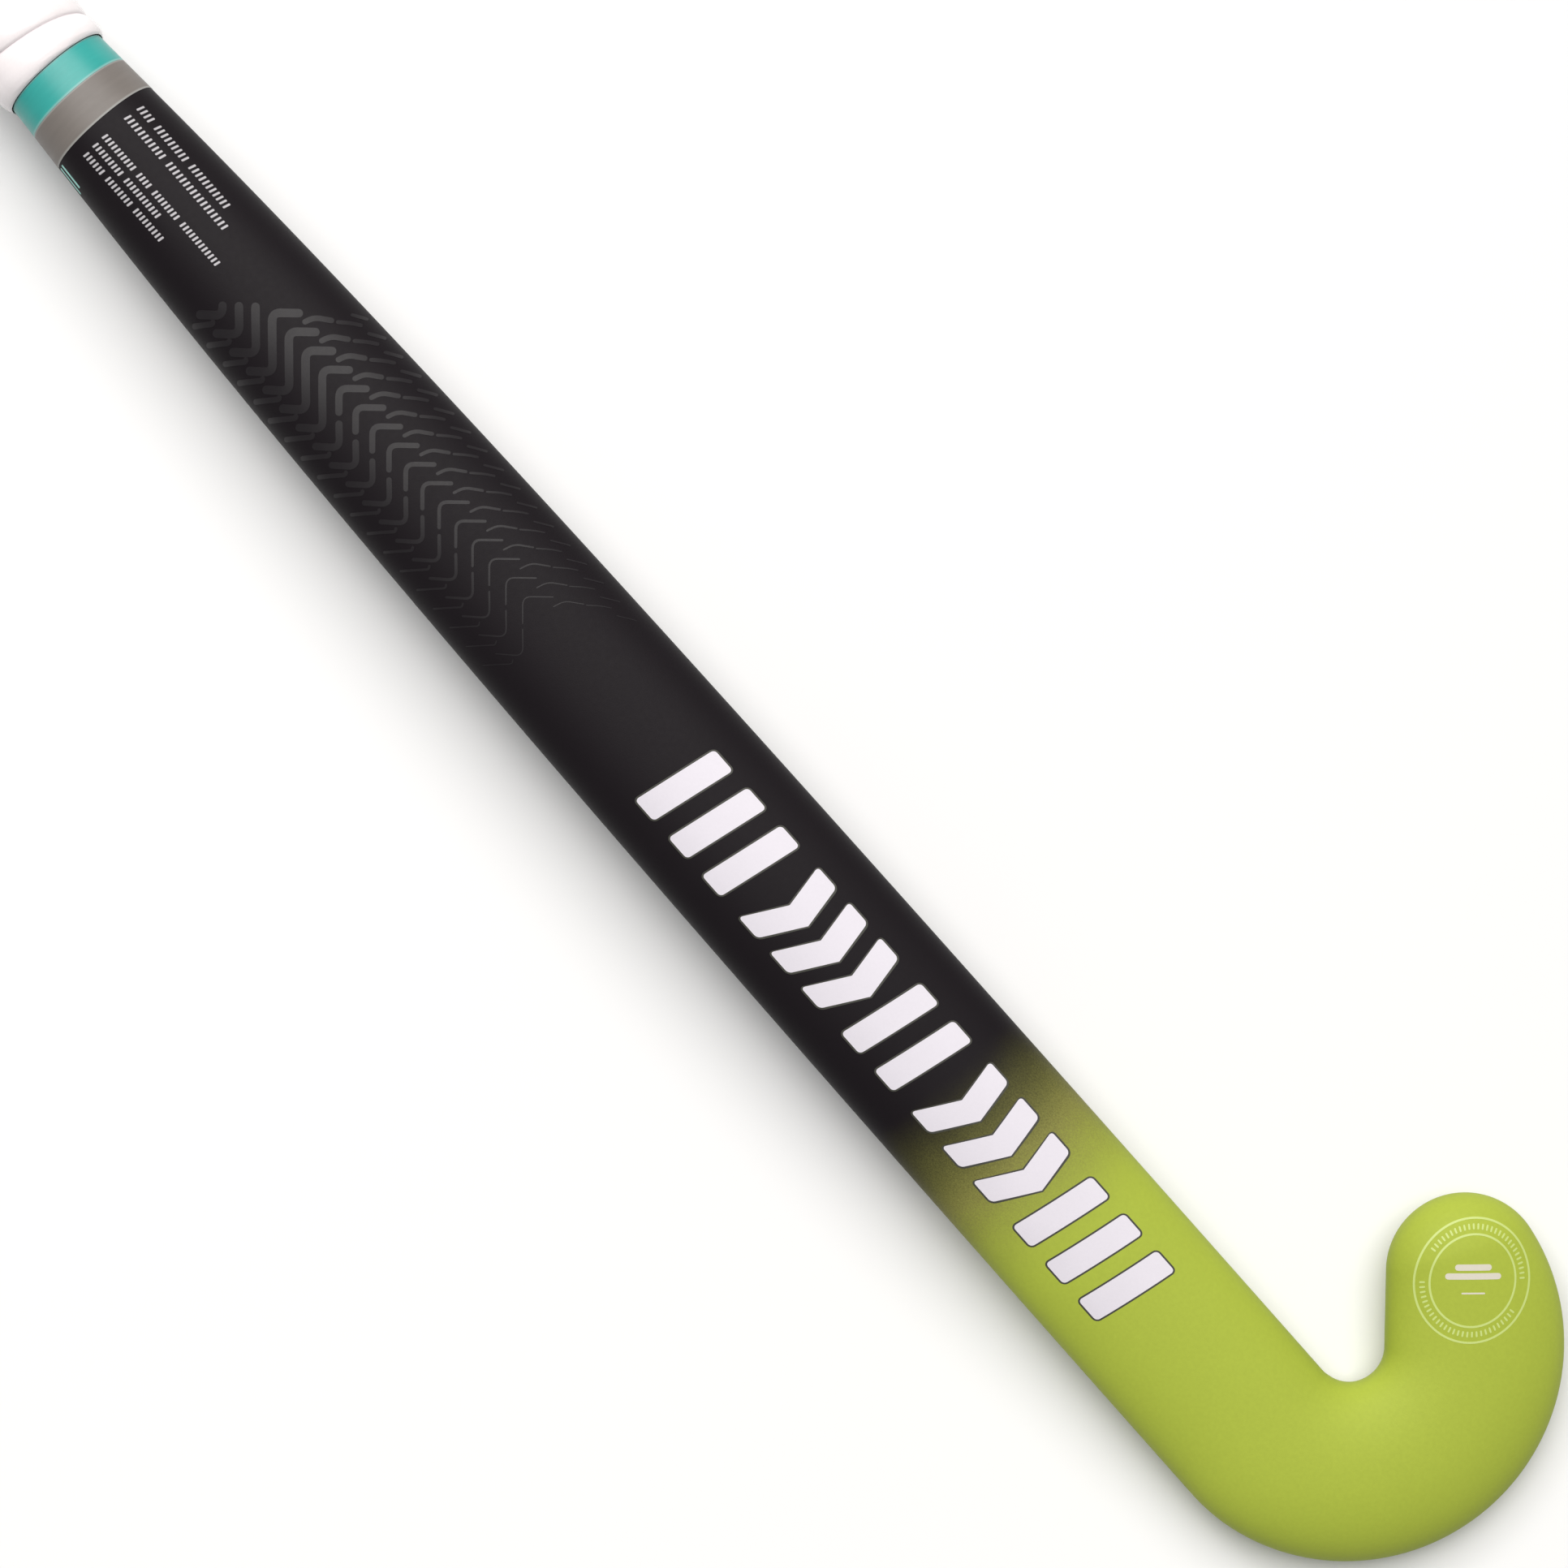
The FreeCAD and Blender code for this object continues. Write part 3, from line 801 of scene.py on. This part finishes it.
def cloth_tape():
    """Double-sided cloth tape: plain weave, half a millimetre to a thread."""
    look = Look("cloth_tape", Sheen_Weight=0.3)
    threads = 2 * math.pi / (0.5 * MM)
    warp = (look.axis("X") * threads).maths("SINE")
    weft = (look.axis("Y") * threads).maths("SINE")
    weave = warp * weft * 0.5 + 0.5
    look.feed("Base Color", look.mix(weave, (0.66, 0.64, 0.58), (0.86, 0.85, 0.80)))
    look.feed("Roughness", look.noise(500.0, 2.0) * 0.1 + 0.82)
    look.bump(weave, 0.06 * MM)
    return look.material


def pale_floor(stage):
    look = Look("pale_floor", Specular_IOR_Level=0.2)
    tone = look.noise(2.5, 2.0) * 0.02 + 0.99
    look.feed("Base Color", look.shaded(tuple(stage.floor), tone))
    look.feed("Roughness", look.noise(60.0, 2.0) * 0.1 + 0.8)
    return look.material


# ---- pieces ----------------------------------------------------------------------------------

class STICK_OT_painted_shell(Operator):
    """Moulds the painted bar with its rounded back, bowed shaft, flat head and hook"""
    bl_idname = "stick.painted_shell"
    bl_label = "Painted Shell"

    def execute(self, context):
        scene = context.scene
        bar = Bar(scene.stick_bar)
        stations = bar.stations()
        last = len(stations) - 1
        shell = flat_grid("painted_shell", last, scene.stick_bar.around)
        shape(shell, lambda co: bar.faced(
            bar.around(stations[round((co.x + 0.5) * last)], co.y + 0.5)))
        weld(shell)
        give_wall(shell, scene.stick_bar.skin)
        smooth(shell)
        finish(shell, soft_touch_paint(scene.stick_paint), "painted_laminate", "outer_shell")
        return {"FINISHED"}


class STICK_OT_grip_strip(Operator):
    """Winds the grip strip down the handle and trims its ends"""
    bl_idname = "stick.grip_strip"
    bl_label = "Grip Strip"

    columns_per_turn = 60
    rows = 12

    def execute(self, context):
        scene = context.scene
        bar, grip = Bar(scene.stick_bar), scene.stick_grip
        low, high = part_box("grip_wrap")
        groove_turn = 0.25
        spare = math.ceil((grip.first_groove_x - low.x) / grip.pitch) + 1
        start = grip.first_groove_x - grip.pitch * (spare + groove_turn)
        turns = math.ceil((high.x - start) / grip.pitch) + 1
        strip = flat_grid("grip_strip", turns * self.columns_per_turn, self.rows)

        def unrolled(co):
            across = (1 - math.cos(math.pi * (co.y + 0.5))) / 2
            wound = (co.x + 0.5) * turns
            return Vector((start + grip.pitch * (wound + across), wound, 0))

        shape(strip, unrolled)
        cut(strip, [low.x], 0, clear_below=True)
        cut(strip, [high.x], 0, clear_above=True)
        rounding_steps = 4
        cut(strip, [high.x - grip.end_rounding * (step / rounding_steps) ** 2
                    for step in range(1, rounding_steps + 1)], 0)
        # groove is 1 in the grooves between turns: the grip's material paints shade there and makes them
        # rougher
        grooves = strip.data.attributes.new("groove", "FLOAT", "POINT")
        for vertex in strip.data.vertices:
            across = (vertex.co.x - start) / grip.pitch - vertex.co.y
            grooves.data[vertex.index].value = abs(2 * across - 1) ** 14
        edit_all(strip)
        bpy.ops.mesh.duplicate()
        bpy.ops.mesh.flip_normals()
        bpy.ops.transform.translate(value=(0, 0, -1))
        edit_done()

        def wound_on(co):
            at_end = min(co.x - low.x, high.x - co.x) < EXACT
            if co.z < -0.5 and not at_end:
                return bar.over_shaft(co.x, co.y, grip.underlay + grip.glue)
            across = min(max((co.x - start) / grip.pitch - co.y, 0.0), 1.0)
            out = abs(2 * across ** 0.93 - 1)
            shoulder = (1 - out ** grip.shoulder_power) ** 0.5
            height = grip.groove_share + (1 - grip.groove_share) * shoulder
            height *= 1 - grip.crown * out ** 2
            near_end = min((high.x - co.x) / grip.end_rounding, 1.0)
            rounded = math.sqrt(max(0.0, 1 - (1 - near_end) ** 2))
            lift = grip.lip + (grip.underlay + grip.thickness * height - grip.lip) * rounded
            return bar.over_shaft(co.x, co.y, lift)

        shape(strip, wound_on)
        weld(strip, EXACT)
        smooth(strip, 60.0)
        finish(strip, wound_polyurethane(scene.stick_paint), "grip_polyurethane", "grip_wrap")
        return {"FINISHED"}


class STICK_OT_tape_bands(Operator):
    """Winds the two tape bands under the grip, each a little past one turn"""
    bl_idname = "stick.tape_bands"
    bl_label = "Tape Bands"

    columns = 96
    rows = 6
    seam_turn = 0.70

    def band(self, scene, name, node, slot, material):
        bar, grip = Bar(scene.stick_bar), scene.stick_grip
        low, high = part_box(node)
        wall = grip.tape * 0.45
        turns = 1 + grip.tape_overlap
        band = flat_grid(name, self.columns, self.rows)

        def wound_on(co):
            wound = (co.x + 0.5) * turns
            x = low.x + (high.x - low.x) * (co.y + 0.5)
            over = min(max((wound - 1) / 0.02 + 0.5, 0.0), 1.0)
            return bar.over_shaft(x, self.seam_turn + wound, wall * (1.05 + 1.05 * over))

        shape(band, wound_on)
        edit_all(band)
        bpy.ops.mesh.normals_make_consistent(inside=False)
        edit_done()
        give_wall(band, wall)
        smooth(band)
        finish(band, material, slot, node)

    def execute(self, context):
        scene = context.scene
        paint = scene.stick_paint
        self.band(scene, "grip_finishing_tape", "finishing_tape", "teal_tape",
                  banded_tape("teal_vinyl", paint.finishing_tape, "finishing_tape", 0.30))
        self.band(scene, "shaft_border_tape", "border_tape", "grey_tape",
                  banded_tape("grey_vinyl", paint.border_tape, "border_tape", 0.42))
        return {"FINISHED"}


class STICK_OT_end_cap(Operator):
    """Moulds the butt cap: a rounded disc with a recessed ring and a raised middle"""
    bl_idname = "stick.end_cap"
    bl_label = "End Cap"

    around = 96
    round_steps = 6
    # the end of the cap inside its rounded rim, in mm: how far in, and how deep under the end
    rings = ((3.0, 0.0), (3.3, 0.5), (4.6, 0.5), (4.9, 0.0), (7.6, 0.0), (8.3, 0.3))

    def profile(self, rounding):
        """The cap from its side to its middle: how far in, and how deep under the end."""
        places = []
        for step in range(self.round_steps + 1):
            turn = math.pi / 2 * step / self.round_steps
            places.append((rounding * (1 - math.cos(turn)), rounding * (1 - math.sin(turn))))
        return places + [(rounding + inwards * MM, deep * MM) for inwards, deep in self.rings]

    def execute(self, context):
        scene = context.scene
        bar, grip = Bar(scene.stick_bar), scene.stick_grip
        lift = grip.underlay + grip.thickness
        inner_x = bar.shell_top_x - 0.05 * MM
        start_clean()
        bpy.ops.mesh.primitive_circle_add(vertices=self.around, radius=1, fill_type="NGON",
                                          rotation=(0, math.pi / 2, 0))
        bpy.ops.object.transform_apply(rotation=True)
        cap = named("end_cap")
        shape(cap, lambda co: bar.over_shaft(
            inner_x, math.atan2(co.z, -co.y) / (2 * math.pi), lift))
        edit_all(cap)
        x, half = inner_x, bar.half_width(bar.butt_x) + lift
        for inwards, deep in self.profile(grip.cap_rounding):
            bpy.ops.mesh.extrude_region_move(TRANSFORM_OT_translate={
                "value": (bar.butt_x + deep - x, 0, 0)})
            x = bar.butt_x + deep
            smaller = (bar.half_width(bar.butt_x) + lift - inwards) / half
            bpy.ops.transform.resize(value=(1, smaller, smaller))
            half *= smaller
        bpy.ops.mesh.select_all(action="SELECT")
        bpy.ops.mesh.normals_make_consistent(inside=False)
        edit_done()
        smooth(cap, 30.0)
        finish(cap, moulded_plastic("satin_cap", (0.80, 0.785, 0.785), 0.30), "cap_rubber",
               "butt_cap")
        return {"FINISHED"}


def block(width, height, slant, point, rounding):
    """A leaning bar, or a chevron when point moves its middle towards the head."""
    start_clean()
    bpy.ops.mesh.primitive_plane_add(size=1)
    block = bpy.context.object
    edit_all(block)
    bpy.ops.transform.resize(value=(width, height, 1))
    if point:
        bpy.ops.mesh.bisect(plane_co=(0, 0, 0), plane_no=(0, 1, 0))
        pick(block, "VERT", lambda vertex: abs(vertex.co.y) < EXACT)
        bpy.ops.transform.translate(value=(point, 0, 0))
    for side in (-1, 1):
        pick(block, "VERT", lambda vertex: vertex.co.y * side > EXACT)
        bpy.ops.transform.translate(value=(side * slant * height / 2, 0, 0))
    pick(block, "VERT", lambda vertex: abs(vertex.co.y) > EXACT)
    bpy.ops.mesh.bevel(offset=rounding, segments=4, affect="VERTICES")
    edit_done()
    return block


class STICK_OT_block_graphic(Operator):
    """Prints the row of slanted white bars and chevrons, with a dark line round each"""
    bl_idname = "stick.block_graphic"
    bl_label = "Block Graphic"

    # the row from the butt end: what stands there and the gap after it, in strokes
    row = (("bar", 0.8), ("bar", 0.8), ("bar", 0.98),
           ("chevron", 0.68), ("chevron", 0.68), ("chevron", 1.18),
           ("bar", 0.8), ("bar", 0.98),
           ("chevron", 0.68), ("chevron", 0.68), ("chevron", 1.18),
           ("bar", 0.8), ("bar", 0.8), ("bar", 0.0))
    cut_pitch = 1.6 * MM

    def layer(self, scene, name, grow, lift, material):
        bar, prints = Bar(scene.stick_bar), scene.stick_prints
        stroke, height = prints.block_stroke, prints.block_height
        x, blocks = prints.block_start_x + stroke / 2, []
        for kind, gap in self.row:
            point = 0.62 * stroke if kind == "chevron" else 0.0
            one = block(stroke + 2 * grow, height + 2 * grow, prints.block_slant, point,
                        prints.block_rounding + grow)
            one.location = (x, bar.shaft_y, 0)
            blocks.append(one)
            x += stroke * (1 + gap)
        row = join(blocks, name)
        half = height / 2 + grow
        lanes = math.ceil(2 * half / self.cut_pitch)
        cut(row, [bar.shaft_y - half + 2 * half * lane / lanes for lane in range(1, lanes)], 1)
        shape(row, lambda co: bar.on_back(co.x, co.y, lift))
        give_wall(row, 1.5 * lift)
        smooth(row, 30.0)
        finish(row, material, "painted_laminate")

    def execute(self, context):
        scene = context.scene
        prints, paint = scene.stick_prints, scene.stick_paint
        self.layer(scene, "block_outline", prints.outline, prints.lift * 0.6,
                   print_ink("outline_ink", (0.045, 0.045, 0.035), 0.5))
        self.layer(scene, "block_graphic", 0.0, prints.lift,
                   print_ink("white_ink", paint.white, 0.48))
        return {"FINISHED"}


class STICK_OT_small_ticks(Operator):
    """Prints five rows of small ticks below the tape, where a maker's small print would stand"""
    bl_idname = "stick.small_ticks"
    bl_label = "Small Ticks"

    start_x = -57.4 * MM
    # each row: how far from the ridge, the ticks' height and pitch, and the ticks in its groups
    rows = ((10.7, 2.0, 1.38, (4, 9, 11)),
            (6.6, 2.0, 1.38, (11, 17)),
            (-1.2, 1.8, 1.24, (10, 4, 8, 12)),
            (-4.6, 1.8, 1.24, (9, 11)),
            (-8.1, 1.8, 1.24, (6, 8, 9)))
    tick_width = 0.6 * MM

    def execute(self, context):
        scene = context.scene
        bar, prints = Bar(scene.stick_bar), scene.stick_prints
        ticks = []
        for off_ridge, height, pitch, groups in self.rows:
            model = block(self.tick_width, height * MM, prints.block_slant, 0.0, 0.15 * MM)
            place = 0
            for group in groups:
                for _ in range(group):
                    tick = model.copy()
                    tick.data = model.data.copy()
                    context.collection.objects.link(tick)
                    tick.location = (self.start_x + place * pitch * MM,
                                     bar.shaft_y + off_ridge * MM, 0)
                    ticks.append(tick)
                    place += 1
                place += 1
            bpy.data.objects.remove(model)
        small = join(ticks, "small_ticks")
        shape(small, lambda co: bar.on_back(co.x, co.y, prints.lift))
        give_wall(small, 1.5 * prints.lift)
        smooth(small, 30.0)
        finish(small, print_ink("small_ink", (0.46, 0.44, 0.46), 0.5), "painted_laminate")
        return {"FINISHED"}


def sampled(corners, rounding, step):
    """Points along a polyline with its inner corners rounded."""
    path = [corners[0]]
    for before, corner, after in zip(corners, corners[1:], corners[2:]):
        into, out = corner - before, after - corner
        radius = min(rounding, into.length / 2, out.length / 2)
        into, out = into.normalized() * radius, out.normalized() * radius
        arc_steps = 6
        for number in range(arc_steps + 1):
            part = number / arc_steps
            first = corner - into * (1 - part)
            second = corner + out * part
            path.append(first.lerp(second, part))
    path.append(corners[-1])
    points = [path[0]]
    for one, other in zip(path, path[1:]):
        pieces = max(1, math.ceil((other - one).length / step))
        points += [one.lerp(other, piece / pieces) for piece in range(1, pieces + 1)]
    return points


def brush_stroke(points, half):
    """A ribbon line of even width with round ends."""
    total = sum((other - one).length for one, other in zip(points, points[1:]))
    ends = [half * (1 - math.cos(math.pi / 2 * step / 4)) for step in range(1, 4)]
    line, done = [(points[0], 0.0)], 0.0
    marks = ends + [total - end for end in reversed(ends)]
    for one, other in zip(points, points[1:]):
        span = (other - one).length
        places = sorted([mark for mark in marks if done < mark < done + span] + [done + span])
        for place in places:
            inside = min(place, total - place)
            part = min(inside / half, 1.0)
            width = half * math.sqrt(max(0.0, 1 - (1 - part) ** 2))
            line.append((one.lerp(other, (place - done) / span), width))
        done += span
    return line


class STICK_OT_wave_print(Operator):
    """Prints the rows of glossy zigzag dashes across the upper shaft, dark on dark"""
    bl_idname = "stick.wave_print"
    bl_label = "Wave Print"

    # a row's dashes, in mm from its middle, along the stick and off the ridge, each after how
    # bold it is; the long middle stroke is whole in the first rows and in two halves after them
    whole = ((1.00, ((0.5, -14.4), (5.9, -9.2), (-5.8, 1.1), (-0.4, 7.1))),)
    halves = ((1.00, ((0.5, -14.4), (5.9, -9.2), (0.5, -4.5))),
              (1.00, ((-0.4, -3.7), (-5.8, 1.1), (-0.4, 7.1))))
    sides = ((0.60, ((0.4, -19.0), (5.5, -12.8), (4.8, -11.8))),
             (0.62, ((1.5, 5.3), (2.3, 8.6), (6.3, 11.9))),
             (0.42, ((6.8, 12.1), (9.6, 15.0), (11.8, 16.7))),
             (0.36, ((14.1, 16.3), (17.9, 19.0), (18.6, 19.4))))
    early_rows = 3               # rows before the first full one, which the print's edge cuts
    bold_rows = 2                # full rows before the lines start to thin
    whole_rows = 4               # full rows before the middle stroke is split
    edge = 1.6                   # the print's straight edge crosses the ridge here
    rim = 0.93                   # and its long ends stop this near the edge of the shaft
    rounding = 2.3 * MM
    thinnest = 0.1 * MM

    def execute(self, context):
        scene = context.scene
        bar, prints = Bar(scene.stick_bar), scene.stick_prints
        strokes = []
        for row in range(-self.early_rows, prints.wave_rows):
            shift = prints.wave_start_x + prints.wave_pitch * row
            middle = self.whole if row < self.whole_rows else self.halves
            left = min(1.0, (prints.wave_rows - row) / (prints.wave_rows - self.bold_rows))
            for bold, corners in middle + self.sides:
                path = [Vector((x * MM + shift, bar.shaft_y + y * MM, 0)) for x, y in corners]
                points = [point for point in sampled(path, self.rounding, 0.7 * MM)
                          if self.printed(bar, point)]
                half = self.thinnest + prints.wave_width / 2 * bold * left ** 1.2
                if len(points) > 3:
                    strokes.append(brush_stroke(points, half))
        waves = ribbons("wave_print", strokes)
        lift = prints.lift * 0.7
        shape(waves, lambda co: bar.on_back(co.x, co.y, lift))
        edit_all(waves)
        bpy.ops.mesh.normals_make_consistent(inside=False)
        edit_done()
        give_wall(waves, 1.5 * lift)
        smooth(waves, 30.0)
        finish(waves, print_ink("clear_gloss_print", (0.0125, 0.0102, 0.0120), 0.44, gloss=0.3),
               "painted_laminate")
        return {"FINISHED"}

    def printed(self, bar, point):
        off_ridge = point.y - bar.shaft_y
        across = abs(off_ridge) / bar.half_width(point.x)
        return across < self.rim and point.x - off_ridge > self.edge * MM


class STICK_OT_side_mark(Operator):
    """Prints the two short lines on the heel edge, below the tapes"""
    bl_idname = "stick.side_mark"
    bl_label = "Side Mark"

    def execute(self, context):
        scene = context.scene
        bar, prints = Bar(scene.stick_bar), scene.stick_prints
        lift = prints.lift
        lines = []
        for turn, start, end in ((0.042, -61.0, -52.4), (0.066, -61.0, -53.4)):
            points = [Vector((start * MM + (end - start) * MM * step / 12, turn, 0))
                      for step in range(13)]
            lines.append([(point, 0.0042) for point in points])
        mark = ribbons("side_mark", lines)
        shape(mark, lambda co: bar.over_shaft(co.x, co.y, lift))
        edit_all(mark)
        bpy.ops.mesh.normals_make_consistent(inside=False)
        edit_done()
        give_wall(mark, 1.5 * lift)
        smooth(mark, 30.0)
        finish(mark, print_ink("mark_ink", (0.30, 0.62, 0.56), 0.45), "painted_laminate")
        return {"FINISHED"}


class STICK_OT_toe_badge(Operator):
    """Prints the round badge on the toe: two rings, ticks between them and a plain symbol"""
    bl_idname = "stick.toe_badge"
    bl_label = "Toe Badge"

    tall = 1.09
    line = 0.28 * MM
    ticks = 68

    def ring(self, middle, radius, turn):
        points = []
        steps = 96
        for step in range(steps + 1):
            around = 2 * math.pi * step / steps
            x, y = radius * math.cos(around), radius * self.tall * math.sin(around)
            points.append((middle + Vector((x * math.cos(turn) - y * math.sin(turn),
                                            x * math.sin(turn) + y * math.cos(turn), 0)),
                           self.line))
        return points

    def execute(self, context):
        scene = context.scene
        prints = scene.stick_prints
        turn = scene.stick_stage.camera_turn - math.radians(18)
        middle = Vector((prints.badge_x, prints.badge_y, 0))
        outer, inner = prints.badge_radius, prints.badge_radius * 0.745

        def spot(radius, around, rise=0.0):
            x = radius * math.cos(around)
            y = radius * self.tall * math.sin(around) + rise
            return middle + Vector((x * math.cos(turn) - y * math.sin(turn),
                                    x * math.sin(turn) + y * math.cos(turn), 0))

        lines = [self.ring(middle, outer, turn), self.ring(middle, inner, turn)]
        for tick in range(self.ticks):
            around = 2 * math.pi * (tick + 0.5) / self.ticks
            if abs(math.cos(around)) > 0.955:
                continue
            near, far = outer * 0.82, outer * 0.915
            lines.append(brush_stroke([spot(near, around), spot((near + far) / 2, around),
                                       spot(far, around)], 0.26 * MM))
        self.print_on(scene, ribbons("badge_rings", lines),
                      print_ink("pale_ink", scene.stick_paint.badge, 0.5))
        symbol = []
        right = Vector((math.cos(scene.stick_stage.camera_turn),
                        math.sin(scene.stick_stage.camera_turn), 0))
        up = Vector((-right.y, right.x, 0))
        for rise, wide, half in ((3.6, 5.0, 0.85), (1.2, 7.6, 0.85), (-3.4, 3.2, 0.22)):
            ends = [middle + (right * along + up * rise) * MM for along in (-wide, 0, wide)]
            symbol.append(brush_stroke(sampled(ends, 1 * MM, 1 * MM), half * MM))
        self.print_on(scene, ribbons("badge_symbol", symbol),
                      print_ink("badge_white", (0.64, 0.60, 0.50), 0.5))
        return {"FINISHED"}

    def print_on(self, scene, piece, material):
        """Lays the print on the toe, and gives it its film of ink."""
        lift = scene.stick_prints.lift
        shape(piece, lambda co: Vector((co.x, co.y, CAD_BOX[1].z * 2)))
        edit_all(piece)
        bpy.ops.mesh.normals_make_consistent(inside=False)
        edit_done()
        modify(piece, "SHRINKWRAP", target=bpy.data.objects["painted_shell"],
               wrap_method="PROJECT", use_project_z=True, use_positive_direction=False,
               use_negative_direction=True, offset=0)
        shape(piece, lambda co: co + Vector((0, 0, lift)))
        give_wall(piece, 1.5 * lift)
        smooth(piece, 30.0)
        finish(piece, material, "painted_laminate")


class STICK_OT_inner_finishes(Operator):
    """Gives the pieces inside the stick their own materials"""
    bl_idname = "stick.inner_finishes"
    bl_label = "Inner Finishes"

    def execute(self, context):
        laminate = woven_laminate("bare_laminate", (0.015, 0.015, 0.017), (0.06, 0.06, 0.065), 2 * MM)
        aramid = woven_laminate("aramid_weave", (0.42, 0.30, 0.05), (0.78, 0.62, 0.18), 1.6 * MM, 0.4)
        foam = closed_cell_foam()
        fibres = straight_fibres()
        looks = {
            "toe_side_tube": laminate,
            "heel_side_tube": laminate,
            "toe_side_foam_core": foam,
            "heel_side_foam_core": foam,
            "back_fibre_strip": fibres,
            "face_fibre_strip": fibres,
            "head_reinforcing_ply": aramid,
            "head_core": filled_resin(),
            "vibration_insert": soft_gel(),
            "butt_plug": moulded_plastic("moulded_nylon", (0.035, 0.035, 0.037), 0.45),
            "grip_underlay": cloth_tape(),
        }
        for name, material in looks.items():
            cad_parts[name].material_slots[0].material = material
        return {"FINISHED"}


class STICK_OT_stage(Operator):
    """Sets the pale floor, the soft lights and the camera"""
    bl_idname = "stick.stage"
    bl_label = "Stage"

    def light(self, kind, name, power, place, target):
        start_clean()
        bpy.ops.object.light_add(type=kind, location=place)
        light = bpy.context.object
        light.name = name
        light.data.energy = power
        light.rotation_euler = (target - place).to_track_quat("-Z", "Y").to_euler()
        return light.data

    def execute(self, context):
        scene = context.scene
        stage = scene.stick_stage
        middle = Vector((stage.camera_x, stage.camera_y, 0))
        start_clean()
        bpy.ops.mesh.primitive_grid_add(x_subdivisions=8, y_subdivisions=8, size=6,
                                        location=(middle.x, middle.y, CAD_BOX[0].z))
        bpy.ops.object.transform_apply(location=True)
        floor = named("floor")
        floor.data.materials.append(pale_floor(stage))
        world = bpy.data.worlds.new("soft_daylight")
        world.use_nodes = True
        background = world.node_tree.nodes["Background"]
        background.inputs["Color"].default_value = (0.90, 0.98, 1.0, 1.0)
        background.inputs["Strength"].default_value = stage.daylight
        scene.world = world
        key = self.light("SUN", "key_light", stage.key_strength,
                         middle + Vector((-0.45, 0.3, 1.1)), middle)
        key.angle = stage.key_softness
        key.color = (1.0, 0.975, 0.955)
        lamp = self.light("AREA", "butt_lamp", stage.lamp_power,
                          middle + Vector((-0.75, 0.1, 0.9)), Vector((CAD_BOX[0].x / 4, 0, 0)))
        lamp.size = 0.3
        start_clean()
        bpy.ops.object.camera_add(location=(stage.camera_x, stage.camera_y, stage.camera_height),
                                  rotation=(0, 0, stage.camera_turn))
        camera = bpy.context.object
        camera.name = "camera"
        camera.data.sensor_width = 36.0
        camera.data.lens = stage.lens
        camera.data.clip_start = 0.05
        scene.camera = camera
        scene.view_settings.view_transform = "Standard"
        return {"FINISHED"}


PIECES = (STICK_OT_painted_shell, STICK_OT_grip_strip, STICK_OT_tape_bands, STICK_OT_end_cap,
          STICK_OT_block_graphic, STICK_OT_small_ticks, STICK_OT_wave_print, STICK_OT_side_mark,
          STICK_OT_toe_badge, STICK_OT_inner_finishes, STICK_OT_stage)
SETTINGS = {"stick_bar": StickBar, "stick_grip": StickGrip, "stick_paint": StickPaint,
            "stick_prints": StickPrints, "stick_stage": StickStage}


class STICK_PT_pieces(Panel):
    """Lists the pieces of the stick, in the order in which they are built"""
    bl_idname = "STICK_PT_pieces"
    bl_label = "Hockey Stick"
    bl_space_type = "VIEW_3D"
    bl_region_type = "UI"
    bl_category = "Stick"

    def draw(self, context):
        for piece in PIECES:
            self.layout.operator(piece.bl_idname)


def register():
    for group in SETTINGS.values():
        bpy.utils.register_class(group)
    for name, group in SETTINGS.items():
        setattr(bpy.types.Scene, name, PointerProperty(type=group))
    for item in PIECES + (STICK_PT_pieces,):
        bpy.utils.register_class(item)


def unregister():
    for item in (STICK_PT_pieces,) + PIECES[::-1]:
        bpy.utils.unregister_class(item)
    for name, group in SETTINGS.items():
        delattr(bpy.types.Scene, name)
        bpy.utils.unregister_class(group)


def main():
    register()
    for piece in PIECES:
        group, name = piece.bl_idname.split(".")
        getattr(getattr(bpy.ops, group), name)()


if __name__ == "__main__":
    main()
